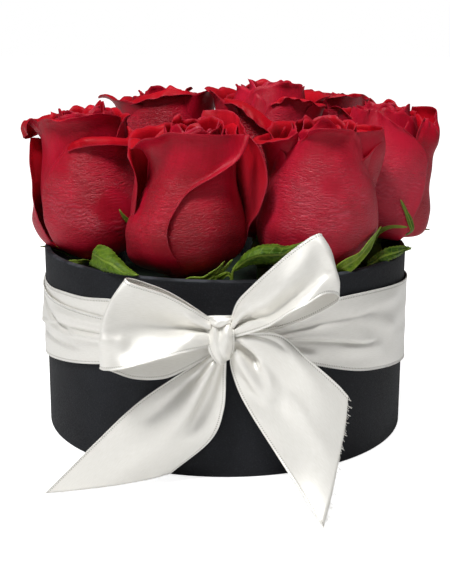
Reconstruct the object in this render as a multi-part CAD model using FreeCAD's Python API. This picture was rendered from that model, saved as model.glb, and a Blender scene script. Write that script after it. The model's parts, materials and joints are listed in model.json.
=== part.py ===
"""A flower box: a round paper-covered board box with seven roses in wet foam and a satin bow.

The frame: origin at the centre of the underside, +Z up, the bow towards -Y. Lengths are in millimetres.
Each function makes one kind of piece, and main() writes every piece to its own STEP file.
"""

import FreeCAD, Part  # noqa: E401  FreeCAD has to come first
import math
import os
from collections import namedtuple

V = FreeCAD.Vector
UP = V(0, 0, 1)
CENTRE = V(0, 0, 0)

# The box.
BOX_RADIUS = 85.0
BOX_HEIGHT = 85.0
PAPER = 0.4  # thickness of the covering paper
BASE_PAPER = 0.3
BASE_PAPER_RADIUS = 80.0
BOARD = 2.0  # thickness of the board
TURN_UNDER = 12.0  # covering paper turned under the base
TURN_IN = 15.0  # covering paper turned down inside the rim
LINING = 0.3
LINER_GAP = 0.3  # between the box and the waterproof liner
LINER = 0.4
LINER_TOP = 72.0

RIM_ROUND = 1.0  # radius of the paper's edges at the rim
BOARD_ROUND = RIM_ROUND - PAPER
FOOT_ROUND = 0.35

BOARD_OUTER = BOX_RADIUS - PAPER
BOARD_INNER = BOARD_OUTER - BOARD
TURNED_INNER = BOARD_INNER - PAPER
BOARD_FLOOR = BASE_PAPER + PAPER  # underside of the board
BOX_FLOOR = BOARD_FLOOR + BOARD  # what the liner stands on
TURN_IN_LOW = BOX_HEIGHT - TURN_IN

# What lifts out.
LINER_RADIUS = TURNED_INNER - LINER_GAP
LINER_FLOOR = BOX_FLOOR + 0.2
FOAM_RADIUS = 80.0
FOAM_FLOOR = LINER_FLOOR + LINER
FOAM_TOP = 62.0
FOAM_CHAMFER = 4.0

# Stems.
STEM_RADIUS = 2.8
STEM_END = 12.0  # height of the stem's cut end above the table
STEM_GAP = 0.08  # round a stem in the foam, per side
HOLE_EXTRA = 2.0  # depth of the hole past the stem's end
STEM_CUT_DEG = 40.0

# The hip and the flower head, in the head's own frame with z = 0 where the lowest petals start.
HIP_DEPTH = 14.0
HIP_RADIUS = 6.2
HIP_TOP_RADIUS = 5.5
POST_RADIUS = 4.0  # the receptacle that the petals grow from
POST_TOP = 4.0
PETAL = 1.2  # thickness of a layer of petals
LAYER_STEP = 2.0  # from the outside of one layer to the outside of the next
LAYER_RISE = 1.6
PETALS_IN_RING = 5
PETAL_SPREAD_DEG = 68.0
SEPAL = 0.7
SEPAL_GAP = 0.3
SEPAL_SPREAD_DEG = 24.0
SEPAL_TOP = 12.0
OUTER_TOP = 0.93  # tops of the layers, as shares of the head's height
INNER_TOP = 1.0
HEART_TOP = 0.93
HEAD_SHAPE = (  # shares of the head's radius and height from the hip to the rim
    (0.62, 0.05),
    (0.90, 0.17),
    (1.00, 0.32),
    (0.97, 0.50),
    (0.93, 0.68),
    (0.96, 0.84),
)

# foot is where the head starts, drift is how far its axis moves out by 100 mm higher up, turn is in degrees.
Rose = namedtuple("Rose", "foot drift radius height turn")
ROSES = {
    "rose_1": Rose(V(-14.5, -48.0, 79.0), V(-6, -12, 0), 26.4, 70.0, 10.0),
    "rose_2": Rose(V(37.5, -40.5, 79.0), V(8, -8, 0), 26.2, 69.0, 50.0),
    "rose_3": Rose(V(-58.5, -9.0, 80.0), V(-12, -3, 0), 25.0, 73.0, 25.0),
    "rose_4": Rose(V(70.0, 4.5, 86.0), V(9, 1, 0), 24.8, 66.0, 65.0),
    "rose_5": Rose(V(-28.5, 44.0, 82.0), V(-4, 9, 0), 26.4, 76.0, 40.0),
    "rose_6": Rose(V(18.5, 9.0, 84.0), V(2, 2, 0), 26.2, 78.0, 0.0),
    "rose_7": Rose(V(41.0, 55.0, 86.0), V(6, 8, 0), 25.0, 67.0, 30.0),
}

# Leaves stand just inside the liner, in the gaps between the outer roses.
LEAF = 0.8
LEAF_RADIUS = 81.1  # outside of the blade
LEAF_LENGTH = 38.0
LEAF_WIDTH = 19.0
LEAF_LOW = 72.0
LEAF_BROADEST = 0.4  # share of the length at which the blade is widest
STALK_RADIUS = 1.0
STALK_FOOT = 48.0
STALK_FOOT_RADIUS = 74.0
STALK_REACH = 3.0  # height of the stalk's end inside the blade
LEAVES = {  # angle round the box from the front, and slope of the blade from level, in degrees
    "leaf_front_left": (-42.0, 40.0),
    "leaf_front_middle": (3.0, 36.0),
    "leaf_front_right": (56.0, 48.0),
    "leaf_back_left": (-124.0, 120.0),
    "leaf_back_middle": (176.0, 75.0),
    "leaf_back_right": (118.0, 95.0),
}

# The ribbon.
RIBBON = 0.6
RIBBON_WIDTH = 40.0
BAND_GAP = 0.05
BAND_LOW = 29.0
BAND_HIGH = BAND_LOW + RIBBON_WIDTH
GATHER_TOP = ((62, 72), (38, 73), (16, 69), (4, 66))  # (x, z) of the band's edges as they close on the knot
GATHER_LOW = ((62, 39), (38, 47), (16, 54), (4, 56))
KNOT = V(-1.0, -92.5, 61.5)
KNOT_SIZE = V(7.5, 6.0, 9.0)  # half sizes
LOOP_START = 5.0
LOOP_THROAT = 7.0  # half height of a loop where it leaves the knot
LOOP_MOUTH = 1.3  # half depth of a loop where it leaves the knot
LOOP_DEPTH = 6.5  # half depth of a loop
LOOP_OFFSET = V(0, -4.8, 0)
LOOP_LEFT = (44.0, 165.0, -12.0)  # length, direction from +X, and tilt about the level X axis, in degrees
LOOP_RIGHT = (49.0, 38.0, -30.0)

# Edges of the two tails, from the knot to the cut ends. Each tail is the sheet between its pair of edges.
TAIL_LEFT = (
    (V(-6, -91, 53.5), V(-25, -95, 46.5), V(-48, -99, 26), V(-72, -103, 1.0)),
    (V(0, -91, 53.5), V(0, -93, 40), V(-4, -93, 24), V(-22, -94, 2.5)),
)
TAIL_RIGHT = (
    (V(1.5, -91, 53.5), V(7, -96, 40.5), V(18, -108, 22), V(38, -132, 1.0)),
    (V(7.5, -91, 57.0), V(30, -93, 56), V(45, -100, 44), V(48, -107, 33)),
)
TAIL_THICKNESS = V(0, -0.5, 0.4)


def wire_of(points):
    return Part.makePolygon(list(points) + [points[0]])


def profile(points):
    """Points (radius, height) as vectors in the XZ plane."""
    return [V(r, 0, z) for r, z in points]


def curve(points):
    spline = Part.BSplineCurve()
    spline.interpolate(points)
    return spline.toShape()


def revolved(face, degrees=360.0):
    return face.revolve(CENTRE, UP, degrees)


def ring(inner, outer, low, high):
    tube = Part.makeCylinder(outer, high - low, V(0, 0, low))
    if inner <= 0:
        return tube
    return tube.cut(Part.makeCylinder(inner, high - low, V(0, 0, low)))


def circle_edges(shape, radius, height):
    """The circular edges of a shape with this radius at this height."""
    found = []
    for edge in shape.Edges:
        if isinstance(edge.Curve, Part.Circle):
            same_radius = abs(edge.Curve.Radius - radius) < 1e-6
            if same_radius and abs(edge.Curve.Center.z - height) < 1e-6:
                found.append(edge)
    return found


# ---- the box ----


def board_wall():
    wall = ring(BOARD_INNER, BOARD_OUTER, BOARD_FLOOR, BOX_HEIGHT - PAPER)
    edges = circle_edges(wall, BOARD_OUTER, BOX_HEIGHT - PAPER)
    edges += circle_edges(wall, BOARD_INNER, BOX_HEIGHT - PAPER)
    return wall.makeFillet(BOARD_ROUND, edges)


def board_base():
    return ring(0, BOARD_INNER, BOARD_FLOOR, BOX_FLOOR)


def covering_paper(wall):
    """One sheet: turned under the base, up the outside, over the rim and down the inside."""
    blank = ring(TURNED_INNER, BOX_RADIUS, BASE_PAPER, BOX_HEIGHT)
    rim = circle_edges(blank, BOX_RADIUS, BOX_HEIGHT) + circle_edges(blank, TURNED_INNER, BOX_HEIGHT)
    blank = blank.makeFillet(RIM_ROUND, rim)
    blank = blank.makeFillet(FOOT_ROUND, circle_edges(blank, BOX_RADIUS, BASE_PAPER))
    below_turn_in = ring(TURNED_INNER - 1, BOARD_INNER, BOARD_FLOOR, TURN_IN_LOW)
    under = ring(BOX_RADIUS - TURN_UNDER, TURNED_INNER + 1, BASE_PAPER, BOARD_FLOOR)
    return blank.cut(wall).cut(below_turn_in).fuse(under).removeSplitter()


def base_paper():
    return ring(0, BASE_PAPER_RADIUS, 0, BASE_PAPER)


def inner_lining():
    return ring(BOARD_INNER - LINING, BOARD_INNER, BOX_FLOOR, TURN_IN_LOW)


# ---- what stands in the box ----


def waterproof_liner():
    cup = ring(0, LINER_RADIUS, LINER_FLOOR, LINER_TOP)
    return cup.cut(ring(0, LINER_RADIUS - LINER, FOAM_FLOOR, LINER_TOP))


def foam_block(holes):
    block = ring(0, FOAM_RADIUS, FOAM_FLOOR, FOAM_TOP)
    block = block.makeChamfer(FOAM_CHAMFER, circle_edges(block, FOAM_RADIUS, FOAM_TOP))
    for hole in holes:
        block = block.cut(hole)
    return block


def lean_of(drift):
    """Rotation that carries +Z onto the axis that moves out by `drift` over 100 mm of height."""
    return FreeCAD.Rotation(UP, drift + V(0, 0, 100))


def set_rose(shape, rose):
    """Moves a shape from the head's own frame to its place in the box."""
    moved = shape.copy()
    spin = FreeCAD.Rotation(UP, rose.turn)
    moved.Placement = FreeCAD.Placement(rose.foot, lean_of(rose.drift).multiply(spin))
    return moved


def stem_length(rose):
    return rose.foot.z - HIP_DEPTH - STEM_END


def stem(rose):
    """A straight rod with its foot cut at a slant."""
    length = stem_length(rose)
    rod = Part.makeCylinder(STEM_RADIUS, length, V(0, 0, -HIP_DEPTH - length))
    knife_size = 10 * STEM_RADIUS
    knife = Part.makeBox(knife_size, knife_size, knife_size, V(-knife_size / 2, -knife_size / 2, -knife_size))
    knife.rotate(CENTRE, V(0, 1, 0), STEM_CUT_DEG)
    knife.translate(V(0, 0, -HIP_DEPTH - length + STEM_RADIUS))
    return set_rose(rod.cut(knife), rose)


def stem_hole(rose):
    length = stem_length(rose) + HOLE_EXTRA
    return set_rose(
        Part.makeCylinder(STEM_RADIUS + STEM_GAP, length, V(0, 0, -HIP_DEPTH - length)), rose
    )


def head_curve(radius, height, start, top):
    """Side of one layer of the head, from the post at `start` up to its rim."""
    points = [(POST_RADIUS, start)]
    for share_r, share_z in HEAD_SHAPE:
        points.append((radius * share_r, start + (height - start) * share_z))
    points.append((radius, height * top))
    return profile(points)


def cup_face(radius, height, start, top, thickness):
    """Half section of a thin cup: its outside, its rim, its inside and its foot on the post."""
    outside = head_curve(radius, height, start, top)
    inside = head_curve(radius - thickness, height, start + thickness, top)
    edges = [
        curve(outside),
        Part.makeLine(outside[-1], inside[-1]),
        curve(inside),
        Part.makeLine(inside[0], outside[0]),
    ]
    return Part.Face(Part.Wire(Part.__sortEdges__(edges)))


def petal_ring(radius, height, start, top, first_deg):
    """Five petals as thin cups, side by side round the post."""
    face = cup_face(radius, height, start, top, PETAL)
    petals = []
    for k in range(PETALS_IN_RING):
        petal = revolved(face, PETAL_SPREAD_DEG)
        petal.rotate(CENTRE, UP, first_deg + k * 360.0 / PETALS_IN_RING)
        petals.append(petal)
    return Part.makeCompound(petals)


def outer_petals(rose):
    return set_rose(petal_ring(rose.radius, rose.height, 0.0, OUTER_TOP, 0.0), rose)


def inner_petals(rose):
    half_step = 180.0 / PETALS_IN_RING
    ring_of_five = petal_ring(rose.radius - LAYER_STEP, rose.height, LAYER_RISE, INNER_TOP, half_step)
    return set_rose(ring_of_five, rose)


def heart(rose):
    """The tight middle of the head, standing on the post and closed by a low dome."""
    core = rose.radius - 2 * LAYER_STEP
    side = head_curve(core, rose.height, POST_TOP, HEART_TOP)[:-2]
    side.append(V(core * 0.75, 0, rose.height * (HEART_TOP - 0.06)))
    side.append(V(0, 0, rose.height * HEART_TOP))
    axis = Part.makePolygon([side[-1], V(0, 0, POST_TOP), side[0]])
    return set_rose(revolved(Part.Face(Part.Wire([curve(side)] + axis.Edges))), rose)


def calyx(rose):
    """Hip, receptacle post and five sepals under the petals, as one piece."""
    hip = [(STEM_RADIUS, -HIP_DEPTH), (HIP_RADIUS * 0.85, -9), (HIP_RADIUS, -5), (HIP_TOP_RADIUS, -SEPAL_GAP)]
    rest = [(HIP_TOP_RADIUS, -SEPAL_GAP), (POST_RADIUS, -SEPAL_GAP), (POST_RADIUS, POST_TOP), (0, POST_TOP)]
    rest += [(0, -HIP_DEPTH), (STEM_RADIUS, -HIP_DEPTH)]
    wire = Part.Wire([curve(profile(hip))] + Part.makePolygon(profile(rest)).Edges)
    body = revolved(Part.Face(wire))
    clear = SEPAL_GAP + SEPAL
    under_petals = cup_face(rose.radius + clear, rose.height, -clear, INNER_TOP, SEPAL)
    lower_part = ring(0, 2 * rose.radius, -HIP_DEPTH, SEPAL_TOP)
    for k in range(PETALS_IN_RING):
        sepal = revolved(under_petals, SEPAL_SPREAD_DEG).common(lower_part)
        sepal.rotate(CENTRE, UP, k * 360.0 / PETALS_IN_RING)
        body = body.fuse(sepal)
    return set_rose(body.removeSplitter(), rose)


def leaf_stalk(angle):
    """A short stalk from the foam to the foot of the blade, for a leaf at this angle round the box."""
    out = V(math.sin(math.radians(angle)), -math.cos(math.radians(angle)), 0)
    foot = out * STALK_FOOT_RADIUS + V(0, 0, STALK_FOOT)
    head = out * (LEAF_RADIUS - LEAF) + V(0, 0, LEAF_LOW + STALK_REACH)
    along = head - foot
    return Part.makeCylinder(STALK_RADIUS, along.Length, foot, along)


def leaf(angle, slope):
    """A blade bent to the curve of the liner, fused to its stalk."""
    half = LEAF_WIDTH / 2
    broadest = LEAF_LENGTH * LEAF_BROADEST
    upper = curve([CENTRE, V(broadest, 0, half), V(LEAF_LENGTH, 0, 0)])
    lower = curve([V(LEAF_LENGTH, 0, 0), V(broadest, 0, -half), CENTRE])
    outline = Part.Face(Part.Wire([upper, lower]))
    outline.rotate(CENTRE, V(0, 1, 0), -slope)
    outline.translate(V(0, 0, LEAF_LOW))
    cutter = outline.extrude(V(0, -2 * BOX_RADIUS, 0))
    blade = ring(LEAF_RADIUS - LEAF, LEAF_RADIUS, LEAF_LOW - LEAF_WIDTH, LEAF_LOW + LEAF_LENGTH)
    blade = blade.common(cutter)
    blade.rotate(CENTRE, UP, angle)
    return blade.fuse(leaf_stalk(angle)).removeSplitter()


# ---- the ribbon ----


def ribbon_band():
    """A strip round the box. Towards the front it is gathered to the knot."""
    inner = BOX_RADIUS + BAND_GAP
    outer = inner + RIBBON
    whole = ring(inner, outer, 0, BOX_HEIGHT)
    back = Part.makeBox(2 * outer, outer, RIBBON_WIDTH, V(-outer, 0, BAND_LOW))
    right_side = [(outer, BAND_LOW)] + list(GATHER_LOW) + list(reversed(GATHER_TOP)) + [(outer, BAND_HIGH)]
    right = Part.Face(wire_of([V(x, 0, z) for x, z in right_side])).extrude(V(0, -outer, 0))
    left = right.mirror(CENTRE, V(1, 0, 0))
    middle = [V(x, 0, z) for x, z in (GATHER_LOW[-1], GATHER_TOP[-1])]
    middle += [V(-p.x, 0, p.z) for p in reversed(middle)]
    front = Part.Face(wire_of(middle)).extrude(V(0, -outer, 0)).fuse([left, right])
    return whole.common(back.fuse(front)).removeSplitter()


def knot():
    ball = Part.makeSphere(1.0)
    stretch = FreeCAD.Matrix()
    stretch.scale(KNOT_SIZE)
    ball = ball.transformGeometry(stretch)
    ball.translate(KNOT)
    return ball


def teardrop(start, end, depth, mouth):
    """Face in the XY plane between two curves that leave the knot together and meet at the far end."""
    back = [V(start, mouth, 0), V(end * 0.5, depth, 0), V(end * 0.88, depth * 0.85, 0), V(end, 0, 0)]
    front = [V(p.x, -p.y, 0) for p in reversed(back)]
    return Part.Face(Part.Wire([curve(back + front[1:]), Part.makeLine(front[-1], back[0])]))


def loop(length, direction, tilt, knot_solid):
    """A loop of ribbon on edge, flared from the knot to its far end, tilted and turned to its direction."""
    end = LOOP_START + length
    outside = teardrop(LOOP_START, end, LOOP_DEPTH, LOOP_MOUTH)
    inside = teardrop(LOOP_START, end - RIBBON, LOOP_DEPTH - RIBBON, LOOP_MOUTH - RIBBON)
    half = RIBBON_WIDTH / 2
    strip = outside.cut(inside).extrude(V(0, 0, RIBBON_WIDTH))
    strip.translate(V(0, 0, -half))
    low = [V(0, 0, -LOOP_THROAT), V(end * 0.6, 0, -half), V(end + 1, 0, -half)]
    high = [V(p.x, 0, -p.z) for p in reversed(low)]
    flare = Part.Face(wire_of(low + high)).extrude(V(0, 4 * LOOP_DEPTH, 0))
    flare.translate(V(0, -2 * LOOP_DEPTH, 0))
    bow = strip.common(flare)
    bow.rotate(CENTRE, V(1, 0, 0), tilt)
    bow.rotate(CENTRE, V(0, 1, 0), -direction)
    bow.translate(KNOT + LOOP_OFFSET)
    return bow.cut(knot_solid)


def tail(edges, knot_solid):
    """A sheet of ribbon between two edge curves."""
    sides = [curve(list(edge)) for edge in edges]
    sheet = Part.makeRuledSurface(sides[0], sides[1])
    return sheet.extrude(TAIL_THICKNESS).cut(knot_solid)


def save(name, shape):
    solids = shape.Solids
    if not solids or any(not s.isValid() for s in solids):
        raise ValueError(f"{name} has no valid solid")
    made = solids[0] if len(solids) == 1 else Part.makeCompound(solids)
    made.exportStep(f"parts/{name}.step")
    print(f"{name:24s} {len(solids)} solids  {sum(s.Volume for s in solids) / 1000:9.3f} cm3")


def main():
    os.makedirs("parts", exist_ok=True)
    wall = board_wall()
    save("base_paper", base_paper())
    save("board_base", board_base())
    save("board_wall", wall)
    save("covering_paper", covering_paper(wall))
    save("inner_lining", inner_lining())
    save("waterproof_liner", waterproof_liner())
    holes = [stem_hole(rose) for rose in ROSES.values()]
    holes += [leaf_stalk(angle) for angle, _ in LEAVES.values()]
    save("foam_block", foam_block(holes))
    for name, rose in ROSES.items():
        save(f"{name}_stem", stem(rose))
        save(f"{name}_calyx", calyx(rose))
        save(f"{name}_heart", heart(rose))
        save(f"{name}_inner_petals", inner_petals(rose))
        save(f"{name}_outer_petals", outer_petals(rose))
    for name, (angle, slope) in LEAVES.items():
        save(name, leaf(angle, slope))
    bow_knot = knot()
    save("ribbon_band", ribbon_band())
    save("bow_knot", bow_knot)
    save("bow_loop_left", loop(*LOOP_LEFT, bow_knot))
    save("bow_loop_right", loop(*LOOP_RIGHT, bow_knot))
    save("bow_tail_left", tail(TAIL_LEFT, bow_knot))
    save("bow_tail_right", tail(TAIL_RIGHT, bow_knot))


main()
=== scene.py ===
"""Looks of the flower box: roses, leaves, satin bow and paper-covered box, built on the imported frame.

Lengths are in millimetres until a mesh is made. Directions round the box, and round a rose, are in degrees
from the front (-Y) and grow towards +X. A share is a fraction of the rose head's radius or height.
"""

import json
import math
from dataclasses import dataclass, replace

import bpy
import numpy as np
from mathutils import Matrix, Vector


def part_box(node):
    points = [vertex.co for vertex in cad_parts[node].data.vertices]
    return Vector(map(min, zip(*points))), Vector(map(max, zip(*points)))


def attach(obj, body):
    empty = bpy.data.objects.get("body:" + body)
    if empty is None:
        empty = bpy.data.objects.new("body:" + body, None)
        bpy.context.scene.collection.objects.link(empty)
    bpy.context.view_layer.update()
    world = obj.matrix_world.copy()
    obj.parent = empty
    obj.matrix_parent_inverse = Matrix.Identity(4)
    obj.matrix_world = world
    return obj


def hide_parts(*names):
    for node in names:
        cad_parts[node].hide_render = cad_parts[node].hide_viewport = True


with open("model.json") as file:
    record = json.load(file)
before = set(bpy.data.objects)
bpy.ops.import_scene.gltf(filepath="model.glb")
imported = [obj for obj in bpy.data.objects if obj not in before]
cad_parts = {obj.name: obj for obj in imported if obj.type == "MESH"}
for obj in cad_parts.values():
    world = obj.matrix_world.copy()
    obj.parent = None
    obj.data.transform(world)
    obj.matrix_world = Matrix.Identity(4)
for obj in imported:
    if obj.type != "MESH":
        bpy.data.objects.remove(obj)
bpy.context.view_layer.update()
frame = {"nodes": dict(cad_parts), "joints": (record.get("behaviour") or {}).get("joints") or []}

MM = 0.001
ROSE_NAMES = [f"rose_{k}" for k in range(1, 8)]
HEART_FOOT = 4.0  # how far above the start of the head its heart stands
PETAL_THICKNESS = 0.45
RIBBON_THICKNESS = 0.3
SEPAL_THICKNESS = 0.6
LEAF_THICKNESS = 0.5
RIBBON_WIDTH = 40.0
SELVEDGE_PITCH = 0.95  # from one stitch to the next along the ribbon's edge
CAMERA_PITCH = 13.664  # degrees downwards


def box_mm(node):
    low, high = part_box(node)
    return np.array(low) / MM, np.array(high) / MM


BOX_LOW, BOX_HIGH = box_mm("covering_paper")
BOX_RADIUS = (BOX_HIGH[0] - BOX_LOW[0]) / 2
BOX_TOP = BOX_HIGH[2]
KNOT = sum(box_mm("bow_knot")) / 2


# ---------------------------------------------------------------- curves, sheets and meshes


def smooth_step(x):
    x = np.clip(x, 0.0, 1.0)
    return x * x * (3 - 2 * x)


def filled(points, knots, per_span):
    """Rows of points with `per_span` smooth steps between each two rows, which stand at the knots."""
    p = np.array(points, float)
    slopes = np.gradient(p, knots, axis=0)
    x = np.linspace(0, 1, per_span, endpoint=False).reshape((-1,) + (1,) * (p.ndim - 1))
    spans = []
    for k, step in enumerate(np.diff(knots)):
        rise = (1 + 2 * x) * (1 - x) ** 2 * p[k] + x**2 * (3 - 2 * x) * p[k + 1]
        bend = x * (1 - x) ** 2 * slopes[k] + x**2 * (x - 1) * slopes[k + 1]
        spans.append(rise + step * bend)
    return np.concatenate(spans + [p[-1:]])


def sampled(points, per_span):
    """A smooth curve through the points."""
    steps = np.linalg.norm(np.diff(np.array(points, float), axis=0), axis=1) ** 0.5
    return filled(points, np.concatenate([[0.0], np.cumsum(steps)]), per_span)


def smooth_net(rows, per_row, per_column):
    """A smooth surface through a net of points."""
    net = filled(rows, np.arange(len(rows)), per_row)
    turned = np.swapaxes(net, 0, 1)
    return np.swapaxes(filled(turned, np.arange(len(turned)), per_column), 0, 1)


def evenly(curve, count):
    """The curve again, as `count` points at even distances."""
    length = np.concatenate([[0.0], np.cumsum(np.linalg.norm(np.diff(curve, axis=0), axis=1))])
    at = np.linspace(0, length[-1], count)
    return np.column_stack([np.interp(at, length, column) for column in curve.T])


def normals_of(grid):
    n = np.cross(np.gradient(grid, axis=1), np.gradient(grid, axis=0))
    return n / np.maximum(np.linalg.norm(n, axis=2, keepdims=True), 1e-9)


def side_distance(grid):
    """Distance of each grid point from the nearer end of its row."""
    across = distances(grid, 1)
    return np.minimum(across, across[:, -1:] - across)


def distances(grid, axis):
    """Distance of each grid point from the first one in its row (axis 1) or column (axis 0)."""
    steps = np.linalg.norm(np.diff(grid, axis=axis), axis=2)
    start = np.zeros_like(np.take(steps, [0], axis=axis))
    return np.cumsum(np.concatenate([start, steps], axis=axis), axis=axis)


def waves(rng, u, v, reach, count=6):
    """Smooth random bumps between about -1 and 1, with up to `reach` waves over the sheet."""
    total = np.zeros(np.broadcast(u, v).shape)
    for _ in range(count):
        a, b = rng.uniform(-reach, reach, 2)
        phase = rng.uniform(0, 2 * math.pi)
        total = total + np.sin(math.pi * (a * u + b * v) + phase)
    return total / count**0.5


EDGE_SHARE = 0.45  # a sheet's thickness at its very edge, as a share of its full thickness
EDGE_REACH = 1.5  # edge distance over which it would grow by one full thickness


@dataclass
class Sheet:
    """A thin curved sheet. `edge` is each point's distance from its free edges, in mm."""

    grid: np.ndarray
    thickness: float
    edge: np.ndarray
    tint: float = 0.5
    crest: float = 0.0  # height of the wrinkles at each point, from 0 to 1, which sets the painted highlight on their crests


def sheet_part(sheet):
    """Vertices, faces, sides, UVs and data of one closed sheet."""
    rows, columns = sheet.grid.shape[:2]
    half = sheet.thickness / 2 * np.clip(EDGE_SHARE + sheet.edge / EDGE_REACH, 0, 1)[:, :, None]
    lift = normals_of(sheet.grid) * half
    verts = np.concatenate([(sheet.grid + lift).reshape(-1, 3), (sheet.grid - lift).reshape(-1, 3)])
    number = np.arange(rows * columns).reshape(rows, columns)
    quads = np.stack([number[:-1, :-1], number[:-1, 1:], number[1:, 1:], number[1:, :-1]], axis=-1)
    quads = quads.reshape(-1, 4)
    back = rows * columns
    rim = np.concatenate([number[0, :-1], number[:-1, -1], number[-1, :0:-1], number[:0:-1, 0]])
    ahead = np.roll(rim, -1)
    strip = np.stack([ahead, rim, rim + back, ahead + back], axis=-1)
    faces = np.concatenate([quads, quads[:, ::-1] + back, strip])
    sides = np.concatenate([np.zeros(len(quads), int), np.ones(len(quads), int), np.zeros(len(strip), int)])
    across = distances(sheet.grid, 1)
    across -= across.mean(axis=1, keepdims=True)
    uv = np.stack([across, distances(sheet.grid, 0)], axis=-1).reshape(-1, 2)
    along = np.repeat(np.linspace(0, 1, rows), columns)
    crest = np.broadcast_to(sheet.crest, (rows, columns)).ravel()
    data = np.stack([sheet.edge.ravel(), along, np.full(rows * columns, sheet.tint), crest], axis=-1)
    return verts, faces, sides, np.tile(uv, (2, 1)), np.tile(data, (2, 1))


ANY_WAY = (0.31, 0.52, 0.79)  # a direction that no tube's path starts in
NO_EDGE = 9.0  # edge distance of a tube, as for the middle of a sheet


def tube_part(path, radii, count=6):
    """A closed round tube of `count` sides along a path, with a radius at each point of it."""
    path = np.array(path, float)
    radii = np.broadcast_to(radii, len(path))
    heading = np.gradient(path, axis=0)
    heading /= np.linalg.norm(heading, axis=1, keepdims=True)
    aside = np.cross(heading[0], ANY_WAY)
    turn = np.linspace(0, 2 * math.pi, count, endpoint=False)[:, None]
    rings = []
    for spot, ahead, radius in zip(path, heading, radii):
        aside = aside - ahead * (aside @ ahead)
        aside /= np.linalg.norm(aside)
        rings.append(spot + radius * (np.cos(turn) * aside + np.sin(turn) * np.cross(ahead, aside)))
    verts = np.concatenate(rings + [path[:1], path[-1:]])
    number = np.arange(len(path) * count).reshape(len(path), count)
    ahead = np.roll(number, -1, axis=1)
    quads = np.stack([number[:-1], ahead[:-1], ahead[1:], number[1:]], axis=-1).reshape(-1, 4)
    first, last = len(verts) - 2, len(verts) - 1
    start_cap = [(first, b, a) for a, b in zip(number[0], ahead[0])]
    end_cap = [(last, a, b) for a, b in zip(number[-1], ahead[-1])]
    faces = quads.tolist() + start_cap + end_cap
    length = np.concatenate([[0.0], np.cumsum(np.linalg.norm(np.diff(path, axis=0), axis=1))])
    length = np.concatenate([np.repeat(length, count), length[:1], length[-1:]])
    uv = np.stack([np.zeros(len(verts)), length], axis=-1)
    data = np.zeros((len(verts), 4))
    data[:, 0] = NO_EDGE
    data[:, 1] = length / length.max()
    data[:, 2] = Sheet.tint
    return verts, faces, np.zeros(len(faces), int), uv, data


def make_piece(name, parts, materials, body, stands_for=()):
    """Joins sheets and tube parts into one smooth mesh and ties it to its CAD body. UVs are in mm."""
    verts, faces, sides, uv, data = [], [], [], [], []
    first = 0
    for part in parts:
        made = sheet_part(part) if isinstance(part, Sheet) else part
        verts.append(made[0])
        faces += [[corner + first for corner in face] for face in np.asarray(made[1], object).tolist()]
        sides.append(made[2])
        uv.append(made[3])
        data.append(made[4])
        first += len(made[0])
    mesh = bpy.data.meshes.new(name)
    mesh.from_pydata((np.concatenate(verts) * MM).tolist(), [], faces)
    for material in materials:
        mesh.materials.append(material)
    if len(materials) > 1:
        mesh.polygons.foreach_set("material_index", np.concatenate(sides).astype(np.int32))
    mesh.shade_smooth()
    layer = mesh.uv_layers.new(name="grain")
    corner = np.empty(len(mesh.loops), np.int32)
    mesh.loops.foreach_get("vertex_index", corner)
    layer.data.foreach_set("uv", np.concatenate(uv)[corner].astype(np.float32).ravel())
    data = np.concatenate(data).astype(np.float32)
    attribute = mesh.attributes.new("sheet", "FLOAT_VECTOR", "POINT")
    attribute.data.foreach_set("vector", data[:, :3].ravel())
    attribute = mesh.attributes.new("crest", "FLOAT", "POINT")
    attribute.data.foreach_set("value", data[:, 3].ravel())
    piece = bpy.data.objects.new(name, mesh)
    bpy.context.scene.collection.objects.link(piece)
    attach(piece, body)
    if stands_for:
        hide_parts(*stands_for)
    return piece


# ---------------------------------------------------------------- materials


class Shader:
    """A node material in the making. Each call adds a node and returns its output."""

    def __init__(self, name):
        self.material = bpy.data.materials.new(name)
        self.material.use_nodes = True
        self.tree = self.material.node_tree
        self.tree.nodes.clear()

    def node(self, kind, inputs, **settings):
        made = self.tree.nodes.new("ShaderNode" + kind)
        for key, value in settings.items():
            setattr(made, key, value)
        for key, value in inputs.items():
            if isinstance(value, bpy.types.NodeSocket):
                self.tree.links.new(value, made.inputs[key])
            else:
                made.inputs[key].default_value = value
        return made

    def place(self):
        """Position in millimetres."""
        spot = self.node("TexCoord", {}).outputs["Object"]
        return self.scaled(spot, (1 / MM, 1 / MM, 1 / MM))

    def grain(self):
        """Distances across and along the sheet, in millimetres."""
        return self.node("UVMap", {}, uv_map="grain").outputs["UV"]

    def sheet_data(self):
        """Distance to the edge, share of the length, and the sheet's own random tint, which on petals also
        sets how strong the painted highlight over the belly is.
        """
        data = self.node("Attribute", {}, attribute_name="sheet").outputs["Vector"]
        return self.node("SeparateXYZ", {0: data}).outputs

    def scaled(self, vector, by):
        return self.node("VectorMath", {0: vector, 1: by}, operation="MULTIPLY").outputs[0]

    def math(self, operation, a, b=0.0, c=0.0):
        return self.node("Math", {0: a, 1: b, 2: c}, operation=operation).outputs[0]

    def noise(self, vector, scale, detail=2.0, distortion=0.0):
        inputs = {"Vector": vector, "Scale": scale, "Detail": detail, "Distortion": distortion}
        return self.node("TexNoise", inputs).outputs["Fac"]

    def span(self, value, low, high, start=0.0, end=1.0):
        """`value` between low and high, spread over start to end."""
        inputs = {0: value, 1: low, 2: high, 3: start, 4: end}
        return self.node("MapRange", inputs, interpolation_type="SMOOTHSTEP").outputs[0]

    def mix(self, share, a, b, how="MIX"):
        inputs = {0: share, 6: a, 7: b}
        return self.node("Mix", inputs, data_type="RGBA", blend_type=how).outputs[2]

    def bump(self, height, distance, strength=1.0, under=None):
        inputs = {"Height": height, "Distance": distance * MM, "Strength": strength}
        if under is not None:
            inputs["Normal"] = under
        return self.node("Bump", inputs).outputs[0]

    def surface(self, inputs):
        shader = self.node("BsdfPrincipled", inputs).outputs[0]
        self.node("OutputMaterial", {0: shader})
        return self.material


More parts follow.
